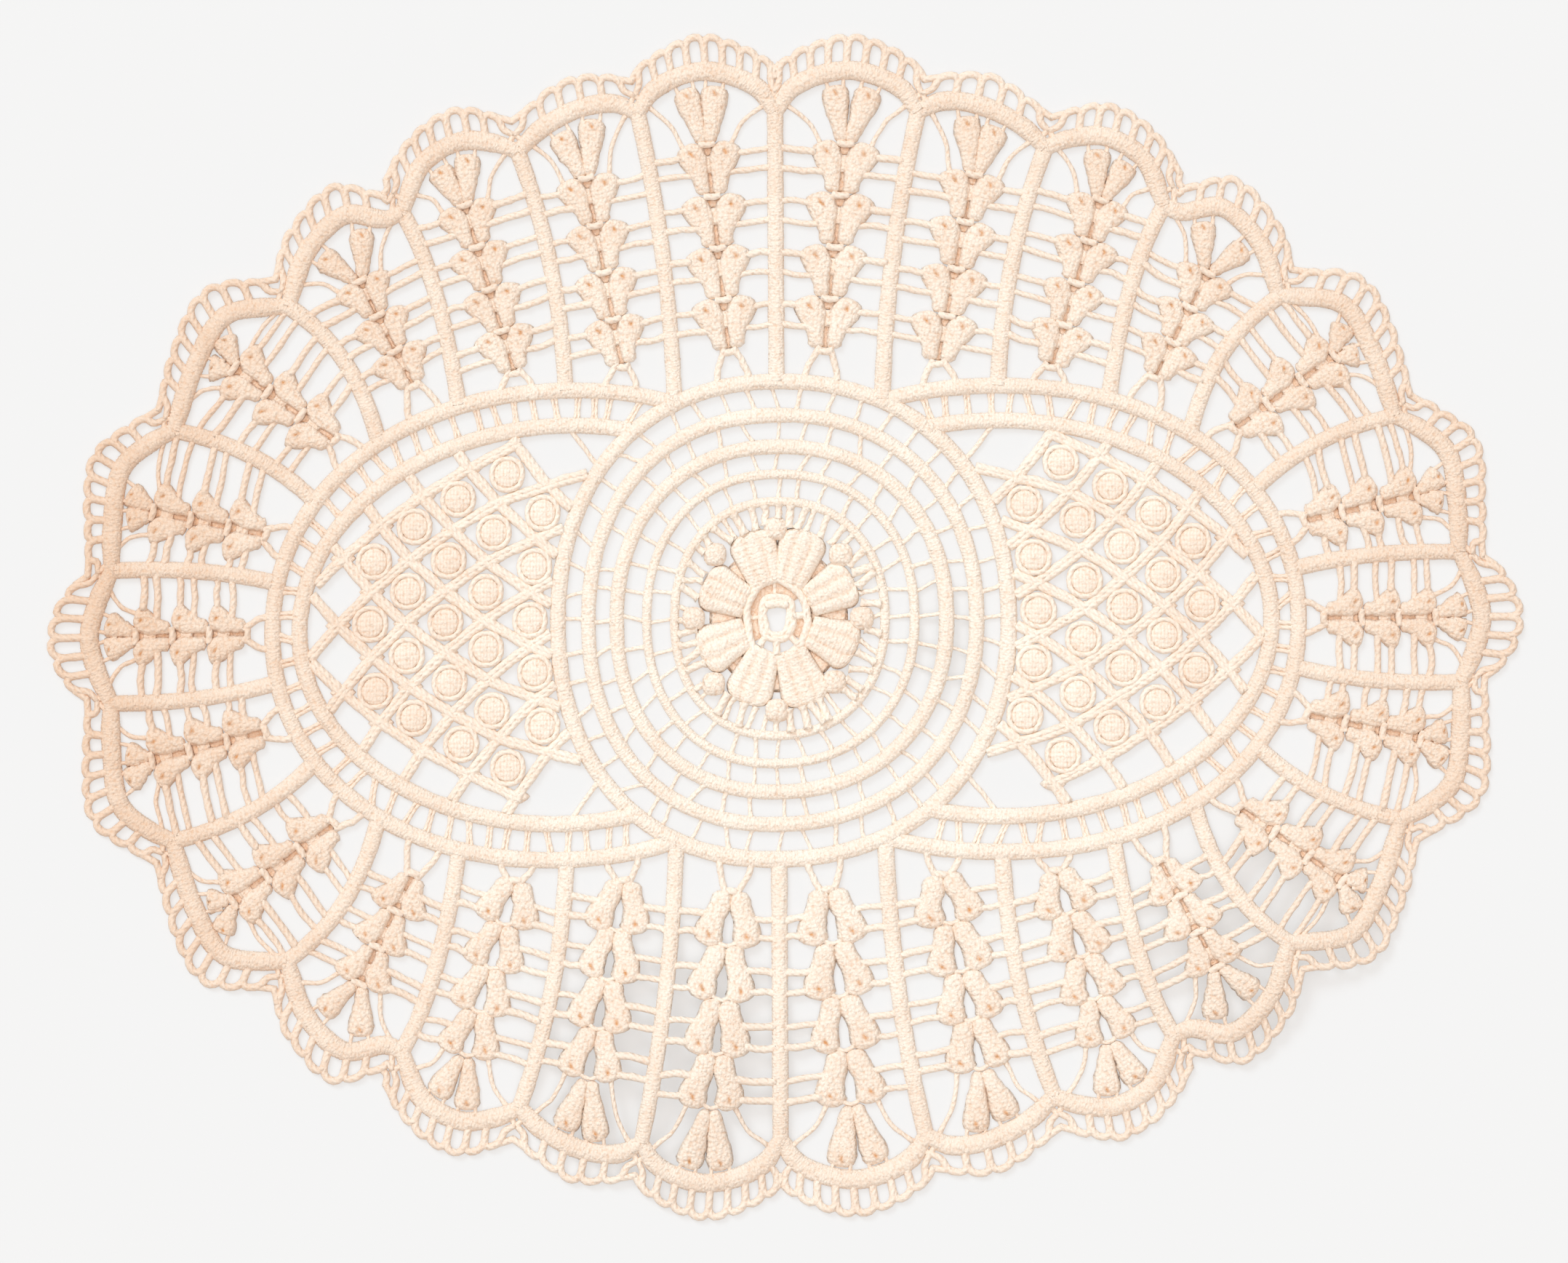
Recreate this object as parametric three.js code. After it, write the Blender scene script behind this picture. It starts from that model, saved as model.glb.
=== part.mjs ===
// Oval crochet placemat: one flat piece of cotton openwork, 440 mm long.
//
// Millimetres, +Z up, long side on X. The mat is worked as a mirrored pattern, drawn here for one
// quarter (x and y positive), then laid out by hand: pulled a little askew and lifted in soft swells.
// The solid has the scalloped outer form and the larger gaps of the openwork.

import * as THREE from 'three';
import { TessellateModifier } from 'three/addons/modifiers/TessellateModifier.js';

// ---- Driving sizes -------------------------------------------------------------------------------

const THICKNESS = 2.2;          // worked cotton, top face to underside
const TAPE = 4.8;               // width of the worked tapes
const BAR = 2.0;                // width left between two gaps of a ladder
const WEB = 0.6;                // cloth kept beside each gap

// Round medallion: tapes from the rim inwards. Each gap to the next tape holds this many openings.
const RING_POWER = 2.2;
const RINGS = [
  { rx: 67.0, ry: 71.0, width: 4.8, gaps: 16 },
  { rx: 57.7, ry: 60.8, width: 4.4, gaps: 14 },
  { rx: 49.0, ry: 51.3, width: 4.4, gaps: 12 },
  { rx: 39.8, ry: 43.0, width: 2.8, gaps: 12 },
  { rx: 31.3, ry: 34.8, width: 2.7, gaps: 0 },
];

// Double oval beside the medallion, one on each side: outer and inner tape with a ladder between.
const OVAL_X = 65;
const OVAL_OUTER = { rx: 87.5, ry: 69.5, power: 2.12 };
const OVAL_INNER = { rx: 79.5, ry: 59.0, power: 2.0 };
const LADDER = { gaps: 12, from: -97, to: 97 };          // angles about the oval's middle, degrees

// Side panel: its lattice leaves a corner gap, a gap near the tip and a row of gaps under the tape.
const CORNER_GAP = { x: 66, y: 50, halfWidth: 8.5, halfHeight: 6.0, lean: 0.3 };
const TIP_GAP = { x: 134, y: 11.5, halfWidth: 6.0, halfHeight: 6.0, lean: 0 };
const EDGE_GAPS = [
  { from: 80, to: 92, inner: 4.4 },
  { from: 95, to: 106, inner: 5.2 },
  { from: 109, to: 119, inner: 6.0 },
];

// Legs between the fans: a tape from the foot on the oval, past its bend, to the crotch of two arches.
// The notch is where the loop edging dips between the arches.
const LEGS = [
  { foot: [0, 71], bend: [0, 110], crotch: [0, 152.5], notch: [0, 163.5] },
  { foot: [31, 65.5], bend: [34.5, 110], crotch: [42, 152.5], notch: [44, 162.5] },
  { foot: [64.5, 69.5], bend: [69, 107], crotch: [79, 141.5], notch: [81, 151] },
  { foot: [97, 66], bend: [104, 100], crotch: [114, 124], notch: [119, 134] },
  { foot: [121, 55.5], bend: [131, 79.5], crotch: [148, 96.5], notch: [152, 105] },
  { foot: [140.5, 39], bend: [159, 52.5], crotch: [182, 60.5], notch: [187, 67] },
  { foot: [152.5, 15], bend: [175, 18.8], crotch: [200.5, 19.5], notch: [208, 18] },
];

// Fans: the arch tape over each fan, the reach of the loops outside it, and the leaf spray under it,
// which runs from its root to its fork in a number of leaf pairs.
const FANS = [
  { inner: [5.5, 160], crown: [22, 165], outer: [37, 159.5], reach: 11.2,
    root: [14.2, 80], fork: [20.8, 142.5], pairs: 4 },
  { inner: [49, 155.5], crown: [59.5, 154.4], outer: [71.5, 148.5], reach: 10.2,
    root: [47, 76], fork: [58, 133], pairs: 4 },
  { inner: [85.5, 144], crown: [96.5, 144.8], outer: [108, 138], reach: 10.5,
    root: [80, 75], fork: [95, 125.5], pairs: 4 },
  { inner: [119, 122], crown: [131, 123.4], outer: [142.5, 112.5], reach: 10.2,
    root: [110.5, 72], fork: [126.5, 103.5], pairs: 3 },
  { inner: [154, 96.5], crown: [167, 94], outer: [175.8, 79.5], reach: 10.6,
    root: [134, 56.5], fork: [164, 78.5], pairs: 3 },
  { inner: [189, 57], crown: [197.5, 49.5], outer: [200.3, 32], reach: 10.4,
    root: [154.5, 29], fork: [188, 36.5], pairs: 3 },
];
const END_FAN = { inner: [204.7, 10], crown: [207, 0], reach: 13, root: [160, 0], fork: [193, 0], pairs: 3 };

// Paired bars hold each leaf to the legs. Heights are shares of the step between two leaf pairs,
// and half widths of the spray are for a step of SPRAY_STEP.
const SPRAY_STEP = 15.7;
const LOWER_BAR = 0.47;
const UPPER_BAR = 0.82;
const LEAF_HEAD = 9.4;
const LEAF_WAIST = 6.6;
const BASE_RISE = 0.42;         // bottom of the root gap, a share of a step below the root
const TOP_RISE = 1.75;          // top of the gap beside the end leaves, above the last pair
const LEAST_GAP = 2.4;          // a gap narrower than this is too small for the solid

// How the mat is laid out: the pull of the cloth along X and Y, and swells that stand off the table.
const PULL = {
  shiftX: -1.4, spread: 2.3, spreadWidth: 60, shear: -0.0055,
  shiftY: -0.35, rise: 3, riseWidth: 130, tilt: 0.015,
  twist: -5e-5,
};
const SWELLS = [
  { x: -34, y: -128, halfX: 56, halfY: 52, lift: 6.5 },
  { x: 143, y: -92, halfX: 56, halfY: 50, lift: 5.5 },
  { x: 48, y: -4, halfX: 17, halfY: 27, lift: 2 },
];

const SHOULDER_REACH = 0.8;     // the loops' reach at the shoulders of an arch, a share of the crown's
const ARCH_STEPS = 9;           // straight pieces in the edge of one fan
const SLOT_STEPS = 3;           // straight pieces in the long side of a curved gap
const LEG_STEPS = 24;           // samples used to find where a bar meets a leg
const LONGEST_EDGE = 50;        // longer edges are halved, so that the faces follow the swells
const MOST_SPLITS = 12;

// ---- Curves --------------------------------------------------------------------------------------

const point = ([x, y]) => new THREE.Vector2(x, y);
const radians = (degrees) => THREE.MathUtils.degToRad(degrees);

// A point of a superellipse about (cx, 0), in the direction of the angle.
function ovalPoint(cx, { rx, ry, power }, angle) {
  const c = Math.cos(angle);
  const s = Math.sin(angle);
  const reach = (Math.abs(c) ** power + Math.abs(s) ** power) ** (-1 / power);
  return new THREE.Vector2(cx + rx * reach * c, ry * reach * s);
}

// The same oval with its half axes changed by an amount.
function widened(oval, amount) {
  return { ...oval, rx: oval.rx + amount, ry: oval.ry + amount };
}

// A smooth curve through the points, in equal steps.
function smooth(points, steps) {
  const spatial = points.map((p) => new THREE.Vector3(p.x, p.y, 0));
  const curve = new THREE.CatmullRomCurve3(spatial, false, 'centripetal');
  return curve.getPoints(steps).map((p) => new THREE.Vector2(p.x, p.y));
}

// The centre line of a leg: a parabola through its foot, bend and crotch.
function legLine(leg) {
  const [foot, bend, crotch] = [point(leg.foot), point(leg.bend), point(leg.crotch)];
  const control = bend.clone().multiplyScalar(2).sub(foot.clone().add(crotch).multiplyScalar(0.5));
  return new THREE.QuadraticBezierCurve(foot, control, crotch).getPoints(LEG_STEPS);
}

// How far a straight line from a point runs before it meets a polyline, or null where it misses.
function distanceTo(line, origin, direction) {
  for (let i = 1; i < line.length; i += 1) {
    const along = line[i].clone().sub(line[i - 1]);
    const offset = line[i - 1].clone().sub(origin);
    const turn = direction.cross(along);
    const share = offset.cross(direction) / turn;
    const distance = offset.cross(along) / turn;
    if (share >= 0 && share <= 1 && distance > 0) {
      return distance;
    }
  }
  return null;
}

// ---- Outer form ----------------------------------------------------------------------------------

// The loop edging over one fan, from notch to notch, at its reach outside the arch tape.
function fanEdge(fan, fromLeg, toLeg) {
  const tape = [fromLeg.crotch, fan.inner, fan.crown, fan.outer, toLeg.crotch].map(point);
  const reaches = [SHOULDER_REACH, 1, SHOULDER_REACH].map((share) => share * fan.reach);
  const tips = reaches.map((reach, i) => {
    const along = tape[i + 2].clone().sub(tape[i]).normalize();
    return tape[i + 1].clone().add(new THREE.Vector2(-along.y, along.x).multiplyScalar(reach));
  });
  return smooth([point(fromLeg.notch), ...tips, point(toLeg.notch)], ARCH_STEPS);
}

// The scalloped edge of one quarter, from the top notch to the tip of the end fan.
function quarterEdge() {
  const edge = FANS.flatMap((fan, i) => fanEdge(fan, LEGS[i], LEGS[i + 1]).slice(0, -1));
  const last = LEGS[LEGS.length - 1];
  const endFan = { ...END_FAN, outer: [END_FAN.inner[0], -END_FAN.inner[1]] };
  const mirrored = { crotch: [last.crotch[0], -last.crotch[1]], notch: [last.notch[0], -last.notch[1]] };
  const whole = fanEdge(endFan, last, mirrored);
  return edge.concat(whole.slice(0, Math.ceil(whole.length / 2)));
}

// Mirrors of a list of points in the four quarters.
function mirror(points, sx, sy) {
  return points.map((p) => new THREE.Vector2(p.x * sx, p.y * sy));
}

// The whole edge, anticlockwise, without the points that two quarters share.
function outerEdge() {
  const quarter = quarterEdge();
  const back = [...quarter].reverse();
  const loop = [mirror(quarter, -1, 1), mirror(back, -1, -1), mirror(quarter, 1, -1), mirror(back, 1, 1)];
  return loop.flat().filter((p, i, all) => p.distanceTo(all[(i + 1) % all.length]) > 0.5);
}

// ---- Gaps ----------------------------------------------------------------------------------------

// A curved gap between two ovals, from one angle to another.
function slot(cx, inside, outside, from, to) {
  const steps = Array.from({ length: SLOT_STEPS + 1 }, (_, i) => from + ((to - from) * i) / SLOT_STEPS);
  const inner = steps.map((angle) => ovalPoint(cx, inside, angle));
  const outer = steps.map((angle) => ovalPoint(cx, outside, angle));
  return [...inner, ...outer.reverse()];
}

// A row of curved gaps with a bar between each two.
function slots(cx, inside, outside, from, to, count) {
  const step = (to - from) / count;
  const bar = BAR / inside.ry;
  return Array.from({ length: count }, (_, i) =>
    slot(cx, inside, outside, from + i * step + bar / 2, from + (i + 1) * step - bar / 2));
}

function medallionGaps() {
  return RINGS.slice(0, -1).flatMap((ring, i) => {
    const outside = widened({ ...ring, power: RING_POWER }, -ring.width / 2);
    const next = RINGS[i + 1];
    const inside = widened({ ...next, power: RING_POWER }, next.width / 2);
    return slots(0, inside, outside, 0, 2 * Math.PI, ring.gaps);
  });
}

function ladderGaps() {
  const inside = widened(OVAL_INNER, TAPE / 2);
  const outside = widened(OVAL_OUTER, -TAPE / 2);
  const { from, to, gaps } = LADDER;
  const right = slots(OVAL_X, inside, outside, radians(from), radians(to), gaps);
  return right.flatMap((gap) => [gap, mirror(gap, -1, 1)]);
}

// A diamond about a point, its upper and lower corners leaned sideways.
function diamond({ x, y, halfWidth, halfHeight, lean }) {
  return [
    new THREE.Vector2(x - halfWidth, y),
    new THREE.Vector2(x - lean * halfHeight, y - halfHeight),
    new THREE.Vector2(x + halfWidth, y),
    new THREE.Vector2(x + lean * halfHeight, y + halfHeight),
  ];
}

// Height of the inner oval tape's lower edge over a place on the long axis.
function tapeEdge(x) {
  const { rx, ry, power } = widened(OVAL_INNER, -TAPE / 2 - WEB);
  return ry * (1 - (Math.abs(x - OVAL_X) / rx) ** power) ** (1 / power);
}

function panelGaps() {
  const rows = EDGE_GAPS.map(({ from, to, inner }) => [
    new THREE.Vector2(from, tapeEdge(from) - inner),
    new THREE.Vector2(to, tapeEdge(to) - inner),
    new THREE.Vector2(to, tapeEdge(to)),
    new THREE.Vector2(from, tapeEdge(from)),
  ]);
  return [diamond(CORNER_GAP), diamond(TIP_GAP), ...rows];
}

// One gap beside a spray, between two heights on it and out to the leg.
function sprayGap(root, along, side, low, high, leg) {
  const corner = ({ height, halfWidth }) => {
    const base = root.clone().addScaledVector(along, height);
    const distance = distanceTo(leg, base, side);
    return distance === null ? null : {
      near: base.clone().addScaledVector(side, halfWidth),
      far: base.clone().addScaledVector(side, distance - TAPE / 2 - WEB),
      width: distance - TAPE / 2 - WEB - halfWidth,
    };
  };
  const [bottom, top] = [corner(low), corner(high)];
  if (bottom === null || top === null || Math.min(bottom.width, top.width) < LEAST_GAP) {
    return [];
  }
  return [[bottom.near, bottom.far, top.far, top.near]];
}

// The gaps on one side of a spray: at its root, between the pairs of bars and beside the end leaves.
function sprayGaps(fan, leg, hand) {
  const root = point(fan.root);
  const along = point(fan.fork).sub(root);
  const step = along.length() / fan.pairs;
  along.normalize();
  const side = new THREE.Vector2(along.y, -along.x).multiplyScalar(hand);
  const scale = step / SPRAY_STEP;
  const bar = BAR / 2;
  const gap = (low, lowWidth, high, highWidth) => sprayGap(root, along, side,
    { height: low * step + bar, halfWidth: lowWidth * scale },
    { height: high * step - bar, halfWidth: highWidth * scale }, leg);
  const gaps = gap(-BASE_RISE, LEAF_WAIST, LOWER_BAR, LEAF_WAIST);
  for (let pair = 1; pair < fan.pairs; pair += 1) {
    gaps.push(...gap(pair - 1 + UPPER_BAR, LEAF_HEAD, pair + LOWER_BAR, LEAF_WAIST));
  }
  gaps.push(...gap(fan.pairs - 1 + UPPER_BAR, LEAF_HEAD, fan.pairs - 1 + TOP_RISE, LEAF_HEAD));
  return gaps;
}

// The side of a fan: its leg, then the shoulder of its arch.
function fanSide(leg, shoulder) {
  return [...legLine(leg), point(shoulder)];
}

function fanGaps() {
  return FANS.flatMap((fan, i) => [
    ...sprayGaps(fan, fanSide(LEGS[i], fan.inner), -1),
    ...sprayGaps(fan, fanSide(LEGS[i + 1], fan.outer), 1),
  ]);
}

// ---- The mat -------------------------------------------------------------------------------------

// Where a point of the pattern lies on the table.
function laid(p) {
  const spread = PULL.spread * (1 - Math.exp(-((p.x / PULL.spreadWidth) ** 2)));
  const rise = PULL.rise * Math.exp(-((p.x / PULL.riseWidth) ** 2) - (p.y / PULL.riseWidth) ** 2);
  const twist = PULL.twist * p.x * p.y;
  const x = p.x + PULL.shiftX + spread + PULL.shear * p.y + twist;
  const y = p.y + PULL.shiftY + rise + PULL.tilt * p.x + twist;
  return new THREE.Vector2(x, y);
}

// How far the cloth stands off the table at a laid point.
function lift(x, y) {
  return SWELLS.reduce((total, swell) => {
    const radius = Math.hypot((x - swell.x) / swell.halfX, (y - swell.y) / swell.halfY);
    return radius >= 1 ? total : total + swell.lift * Math.cos((radius * Math.PI) / 2) ** 2;
  }, 0);
}

function placemat() {
  const quarters = [[1, 1], [-1, 1], [-1, -1], [1, -1]];
  const endGaps = sprayGaps(END_FAN, fanSide(LEGS[LEGS.length - 1], END_FAN.inner), -1);
  const repeated = [...panelGaps(), ...fanGaps(), ...endGaps];
  const mirrored = quarters.flatMap(([sx, sy]) => repeated.map((gap) => mirror(gap, sx, sy)));
  const gaps = [...medallionGaps(), ...ladderGaps(), ...mirrored];

  const shape = new THREE.Shape(outerEdge().map(laid));
  shape.holes = gaps.map((gap) => new THREE.Path(gap.map(laid)));
  const flat = new THREE.ExtrudeGeometry(shape, { depth: THICKNESS, bevelEnabled: false });
  const geometry = new TessellateModifier(LONGEST_EDGE, MOST_SPLITS).modify(flat);

  const position = geometry.attributes.position;
  for (let i = 0; i < position.count; i += 1) {
    position.setZ(i, position.getZ(i) + lift(position.getX(i), position.getY(i)));
  }
  geometry.computeBoundingBox();
  const centre = geometry.boundingBox.getCenter(new THREE.Vector3());
  geometry.translate(-centre.x, -centre.y, 0);
  geometry.computeVertexNormals();

  const cotton = new THREE.MeshStandardMaterial({ color: 0xf6dcc6, roughness: 0.9, metalness: 0 });
  const mesh = new THREE.Mesh(geometry, cotton);
  mesh.name = 'placemat';
  return mesh;
}

const model = new THREE.Group();
model.add(placemat());

export default model;
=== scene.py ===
"""Oval crochet placemat of cotton openwork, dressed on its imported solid.

The mat is drawn in millimetres as a mirrored pattern, the same one as the solid's, then laid out by hand:
pulled a little askew and lifted in soft swells. Every tape, leaf, bar and loop is a closed piece of yarn work.
"""

import logging
import math
from collections.abc import Iterator, Sequence
from dataclasses import dataclass, field
from enum import Enum

import bpy
import numpy as np
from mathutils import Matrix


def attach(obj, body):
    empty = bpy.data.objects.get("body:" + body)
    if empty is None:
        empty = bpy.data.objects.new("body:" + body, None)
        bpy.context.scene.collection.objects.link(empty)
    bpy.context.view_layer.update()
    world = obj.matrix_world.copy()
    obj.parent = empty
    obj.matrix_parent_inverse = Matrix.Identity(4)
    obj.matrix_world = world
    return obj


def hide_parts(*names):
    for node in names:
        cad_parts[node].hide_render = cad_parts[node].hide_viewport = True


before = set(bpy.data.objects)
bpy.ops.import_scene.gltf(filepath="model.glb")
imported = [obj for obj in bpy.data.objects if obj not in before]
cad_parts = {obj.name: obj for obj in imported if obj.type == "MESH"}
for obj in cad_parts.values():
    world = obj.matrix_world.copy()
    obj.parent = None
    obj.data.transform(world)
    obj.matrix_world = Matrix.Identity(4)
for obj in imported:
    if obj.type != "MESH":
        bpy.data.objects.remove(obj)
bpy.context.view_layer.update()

log = logging.getLogger("placemat")

Array = np.ndarray
Pair = tuple[float, float]

SEED = 11  # every hand-made unevenness comes from this one seed


# ---- Finishes ------------------------------------------------------------------------------------


class Stitch(Enum):
    """How a piece of the mat is worked; the value is its place in a mesh's list of materials."""

    RIBBED = 0  # tapes: close stitches worked over a core, square to the tape
    TWISTED = 1  # bars, brides and loops: plied cord
    PEBBLED = 2  # leaves and balls: short stitches in rows
    WOVEN = 3  # the middles of the discs: a darned basket weave


MIX_A, MIX_B, MIX_RESULT = 6, 7, 2  # the colour sockets of a Mix node, two in and one out


def linear(hex_colour: str) -> tuple[float, float, float, float]:
    """Turns an sRGB hex colour to linear.

    Args:
        hex_colour: Six hex digits.

    Returns:
        Linear red, green and blue, with an alpha of 1.
    """
    parts = [int(hex_colour[i : i + 2], 16) / 255 for i in (0, 2, 4)]
    red, green, blue = (
        c / 12.92 if c <= 0.04045 else ((c + 0.055) / 1.055) ** 2.4 for c in parts
    )
    return red, green, blue, 1.0


def add_node(
    tree: bpy.types.NodeTree,
    kind: str,
    settings: dict[str, object] | None = None,
    links: dict[str | int, object] | None = None,
) -> bpy.types.Node:
    """Adds a node with its settings, its socket values and its links.

    Args:
        tree: The node tree.
        kind: The node's type name.
        settings: Properties of the node, by name.
        links: For each input socket, an output socket to link or a value to set.

    Returns:
        The new node.
    """
    node = tree.nodes.new(kind)
    for name, value in (settings or {}).items():
        setattr(node, name, value)
    for socket, source in (links or {}).items():
        if isinstance(source, bpy.types.NodeSocket):
            tree.links.new(source, node.inputs[socket])
        else:
            node.inputs[socket].default_value = source
    return node


@dataclass(frozen=True)
class CottonYarn:
    """Unbleached cotton crochet yarn: matt, softly fuzzy, never the same cream twice."""

    name: str
    stitch: Stitch
    hollow_shade: float  # painted shade: how much darker the hollows between stitches are
    bump_mm: float
    squeeze: tuple[float, float, float] | None = None  # how much closer stitches lie along the work, and across
    unevenness: float = 0.75  # how far stitches stray from a regular grid
    pale: str = "FFF4E6"
    warm: str = "E8CBB3"
    shade: str = "D99F6C"  # painted shade, mixed in where the yarn lies deep: in hollows, pits, dimples, grooves and low strips, standing in for shade and for light that has gone through the cotton
    roughness: float = 0.82  # where no loose fibres stand
    sheen: float = 0.06
    twist_mm: float = 1.15  # one turn of the ply
    row_mm: float = 1.25  # one row of short stitches
    loop_mm: float = 0.85  # single fuzzy loops, drawn a little coarse so that they show
    fibre_mm: float = 0.5  # loose fibres, drawn coarse for the same reason
    patch_mm: float = 14.0  # patches a finger wide in which the cream drifts
    patch_drift: float = 0.12
    pit_shade: float = 0.27  # painted shade: how much darker the pits between loops are
    loop_rise: float = 1.4  # how high loops stand in the bump, as a share of a stitch
    fibre_rise: float = 0.5  # the same for loose fibres

    def stitches(self, tree: bpy.types.NodeTree, uv: bpy.types.NodeSocket) -> bpy.types.NodeSocket:
        """The height of the stitches, from the map along and across the yarn.

        Args:
            tree: The material's node tree.
            uv: The map, in millimetres along and across the work.

        Returns:
            A height from 0 to 1.
        """
        if self.stitch is Stitch.TWISTED:
            turn = 2 * math.pi / 20  # a wave's scale for one band in a unit
            return add_node(
                tree,
                "ShaderNodeTexWave",
                {"wave_type": "BANDS", "wave_profile": "SIN", "bands_direction": "DIAGONAL"},
                {"Vector": uv, "Scale": turn / self.twist_mm, "Distortion": 0.8, "Detail": 1.0},
            ).outputs["Fac"]
        if self.squeeze:
            closer = {0: uv, 1: self.squeeze}
            uv = add_node(tree, "ShaderNodeVectorMath", {"operation": "MULTIPLY"}, closer).outputs[0]
        cells = add_node(
            tree,
            "ShaderNodeTexVoronoi",
            {"feature": "F1", "voronoi_dimensions": "2D"},
            {"Vector": uv, "Scale": 1 / self.row_mm, "Randomness": self.unevenness},
        ).outputs["Distance"]
        return add_node(
            tree,
            "ShaderNodeMapRange",
            {},
            {"Value": cells, "From Min": 0.0, "From Max": 0.75, "To Min": 1.0, "To Max": 0.0},
        ).outputs["Result"]

    def make(self) -> bpy.types.Material:
        """Makes the material.

        Returns:
            The finished material.
        """
        material = bpy.data.materials.new(self.name)
        material.use_nodes = True
        tree = material.node_tree
        tree.nodes.clear()
        uv = add_node(tree, "ShaderNodeUVMap", {"uv_map": "yarn"}).outputs["UV"]
        place = add_node(tree, "ShaderNodeTexCoord").outputs["Object"]
        tone, depth_shade = (
            add_node(tree, "ShaderNodeAttribute", {"attribute_name": name}).outputs["Fac"]
            for name in ("tone", "depth_shade")
        )
        height = self.stitches(tree, uv)
        loops, fibres, patches = (
            add_node(
                tree,
                "ShaderNodeTexNoise",
                {},
                {"Vector": place, "Scale": 1000 / size_mm, "Detail": detail, "Roughness": rough},
            ).outputs["Fac"]
            for size_mm, detail, rough in (
                (self.loop_mm, 1.0, 0.6),
                (self.fibre_mm, 1.0, 0.6),
                (self.patch_mm, 3.0, 0.55),
            )
        )
        # The drift of the cream, the painted shade of hollows and of pits, and the roughness of loose fibres.
        patchy, hollow_shade, pit_shade, roughness = (
            add_node(
                tree,
                "ShaderNodeMapRange",
                {},
                {"Value": value, "From Min": low, "From Max": high, "To Min": at_low, "To Max": at_high},
            ).outputs["Result"]
            for value, low, high, at_low, at_high in (
                (patches, 0.35, 0.65, -self.patch_drift, self.patch_drift),
                (height, 0.0, 0.6, self.hollow_shade, 0.0),
                (loops, 0.46, 0.3, 0.0, self.pit_shade),
                (fibres, 0.3, 0.7, 1.0, self.roughness),
            )
        )
        # How warm the cream is comes from its place on the mat, broken up in patches. How dark and red it is comes
        # from painted shade: of hollows, of pits and of the depth in the work.
        clamped = {"operation": "ADD", "use_clamp": True}
        warmth = add_node(tree, "ShaderNodeMath", clamped, {0: tone, 1: patchy}).outputs[0]
        sunk_shade = add_node(tree, "ShaderNodeMath", {"operation": "ADD"}, {0: hollow_shade, 1: pit_shade}).outputs[0]
        shade_share = add_node(tree, "ShaderNodeMath", clamped, {0: sunk_shade, 1: depth_shade}).outputs[0]
        colour = linear(self.pale)
        for share, other in ((warmth, self.warm), (shade_share, self.shade)):
            colour = add_node(
                tree,
                "ShaderNodeMix",
                {"data_type": "RGBA"},
                {"Factor": share, MIX_A: colour, MIX_B: linear(other)},
            ).outputs[MIX_RESULT]
        bumpy = height
        for layer, rise in ((loops, self.loop_rise), (fibres, self.fibre_rise)):
            bumpy = add_node(
                tree, "ShaderNodeMath", {"operation": "MULTIPLY_ADD"}, {0: layer, 1: rise, 2: bumpy}
            ).outputs[0]
        bump = add_node(
            tree, "ShaderNodeBump", {}, {"Strength": 0.8, "Distance": self.bump_mm / 1000, "Height": bumpy}
        )
        shader = add_node(
            tree,
            "ShaderNodeBsdfPrincipled",
            {},
            {
                "Base Color": colour,
                "Roughness": roughness,
                "Normal": bump.outputs["Normal"],
                "Specular IOR Level": 0.15,
                "Sheen Weight": self.sheen,
                "Sheen Roughness": 0.6,
            },
        )
        add_node(tree, "ShaderNodeOutputMaterial", {}, {"Surface": shader.outputs["BSDF"]})
        return material


# ---- Layout --------------------------------------------------------------------------------------


@dataclass(frozen=True)
class Swell:
    """A place where the cloth stands off the table."""

    x: float
    y: float
    half_x: float
    half_y: float
    lift: float


@dataclass(frozen=True)
class Layout:
    """How the mirrored pattern lies on the table, in millimetres, as the solid does."""

    shift: Pair = (-1.4, -0.35)
    spread: float = 2.3  # how far both sides are pulled to the right, and how near the middle that fades
    spread_width: float = 60.0
    shear: float = -0.0055
    rise: float = 3.0  # how far the middle is pushed away, and how far out that fades
    rise_width: float = 130.0
    tilt: float = 0.015
    twist: float = -5e-5
    centre: Pair = (0.917, -0.026)  # the middle of the box of what lies there
    rim: Pair = (215.0, 172.0)  # the half length and half width over which the cream grows warmer
    swells: tuple[Swell, ...] = (
        Swell(-34, -128, 56, 52, 6.5),
        Swell(143, -92, 56, 50, 5.5),
        Swell(48, -4, 17, 27, 2),
    )

    def laid(self, points: Array) -> Array:
        """Lays points of the pattern out by hand.

        Args:
            points: Rows of x, y and height in the pattern, in millimetres.

        Returns:
            Rows of x, y and z in the row frame, in metres.
        """
        x, y, z = points.T
        spread = self.spread * (1 - np.exp(-((x / self.spread_width) ** 2)))
        rise = self.rise * np.exp(-((x / self.rise_width) ** 2) - (y / self.rise_width) ** 2)
        twist = self.twist * x * y
        px = x + self.shift[0] + spread + self.shear * y + twist
        py = y + self.shift[1] + rise + self.tilt * x + twist
        lift = np.zeros_like(px)
        for swell in self.swells:
            radius = np.hypot((px - swell.x) / swell.half_x, (py - swell.y) / swell.half_y)
            lift += np.where(radius < 1, swell.lift * np.cos(np.minimum(radius, 1) * math.pi / 2) ** 2, 0)
        return np.column_stack([px - self.centre[0], py - self.centre[1], z + lift]) / 1000

    def tone(self, points: Array) -> Array:
        """How warm the cream is at each point: palest at the middle, warmer and darker towards the rim, most at the
        left.

        Args:
            points: Rows of x, y and height in the pattern, in millimetres.

        Returns:
            A value from 0, pale, to 1, warm, for each point.
        """
        x, y, _ = points.T
        out = np.hypot(x / self.rim[0], y / self.rim[1])
        left = np.clip((-x - 60) / 150, 0, 1)
        right = np.clip((x - 90) / 110, 0, 1)
        front = np.clip(-y / 160, 0, 1)
        return np.clip(0.1 + 0.42 * out**1.6 + 0.45 * left**1.2 + 0.2 * right - 0.1 * front, 0, 1)


LAYOUT = Layout()


# ---- Curves --------------------------------------------------------------------------------------


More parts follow.
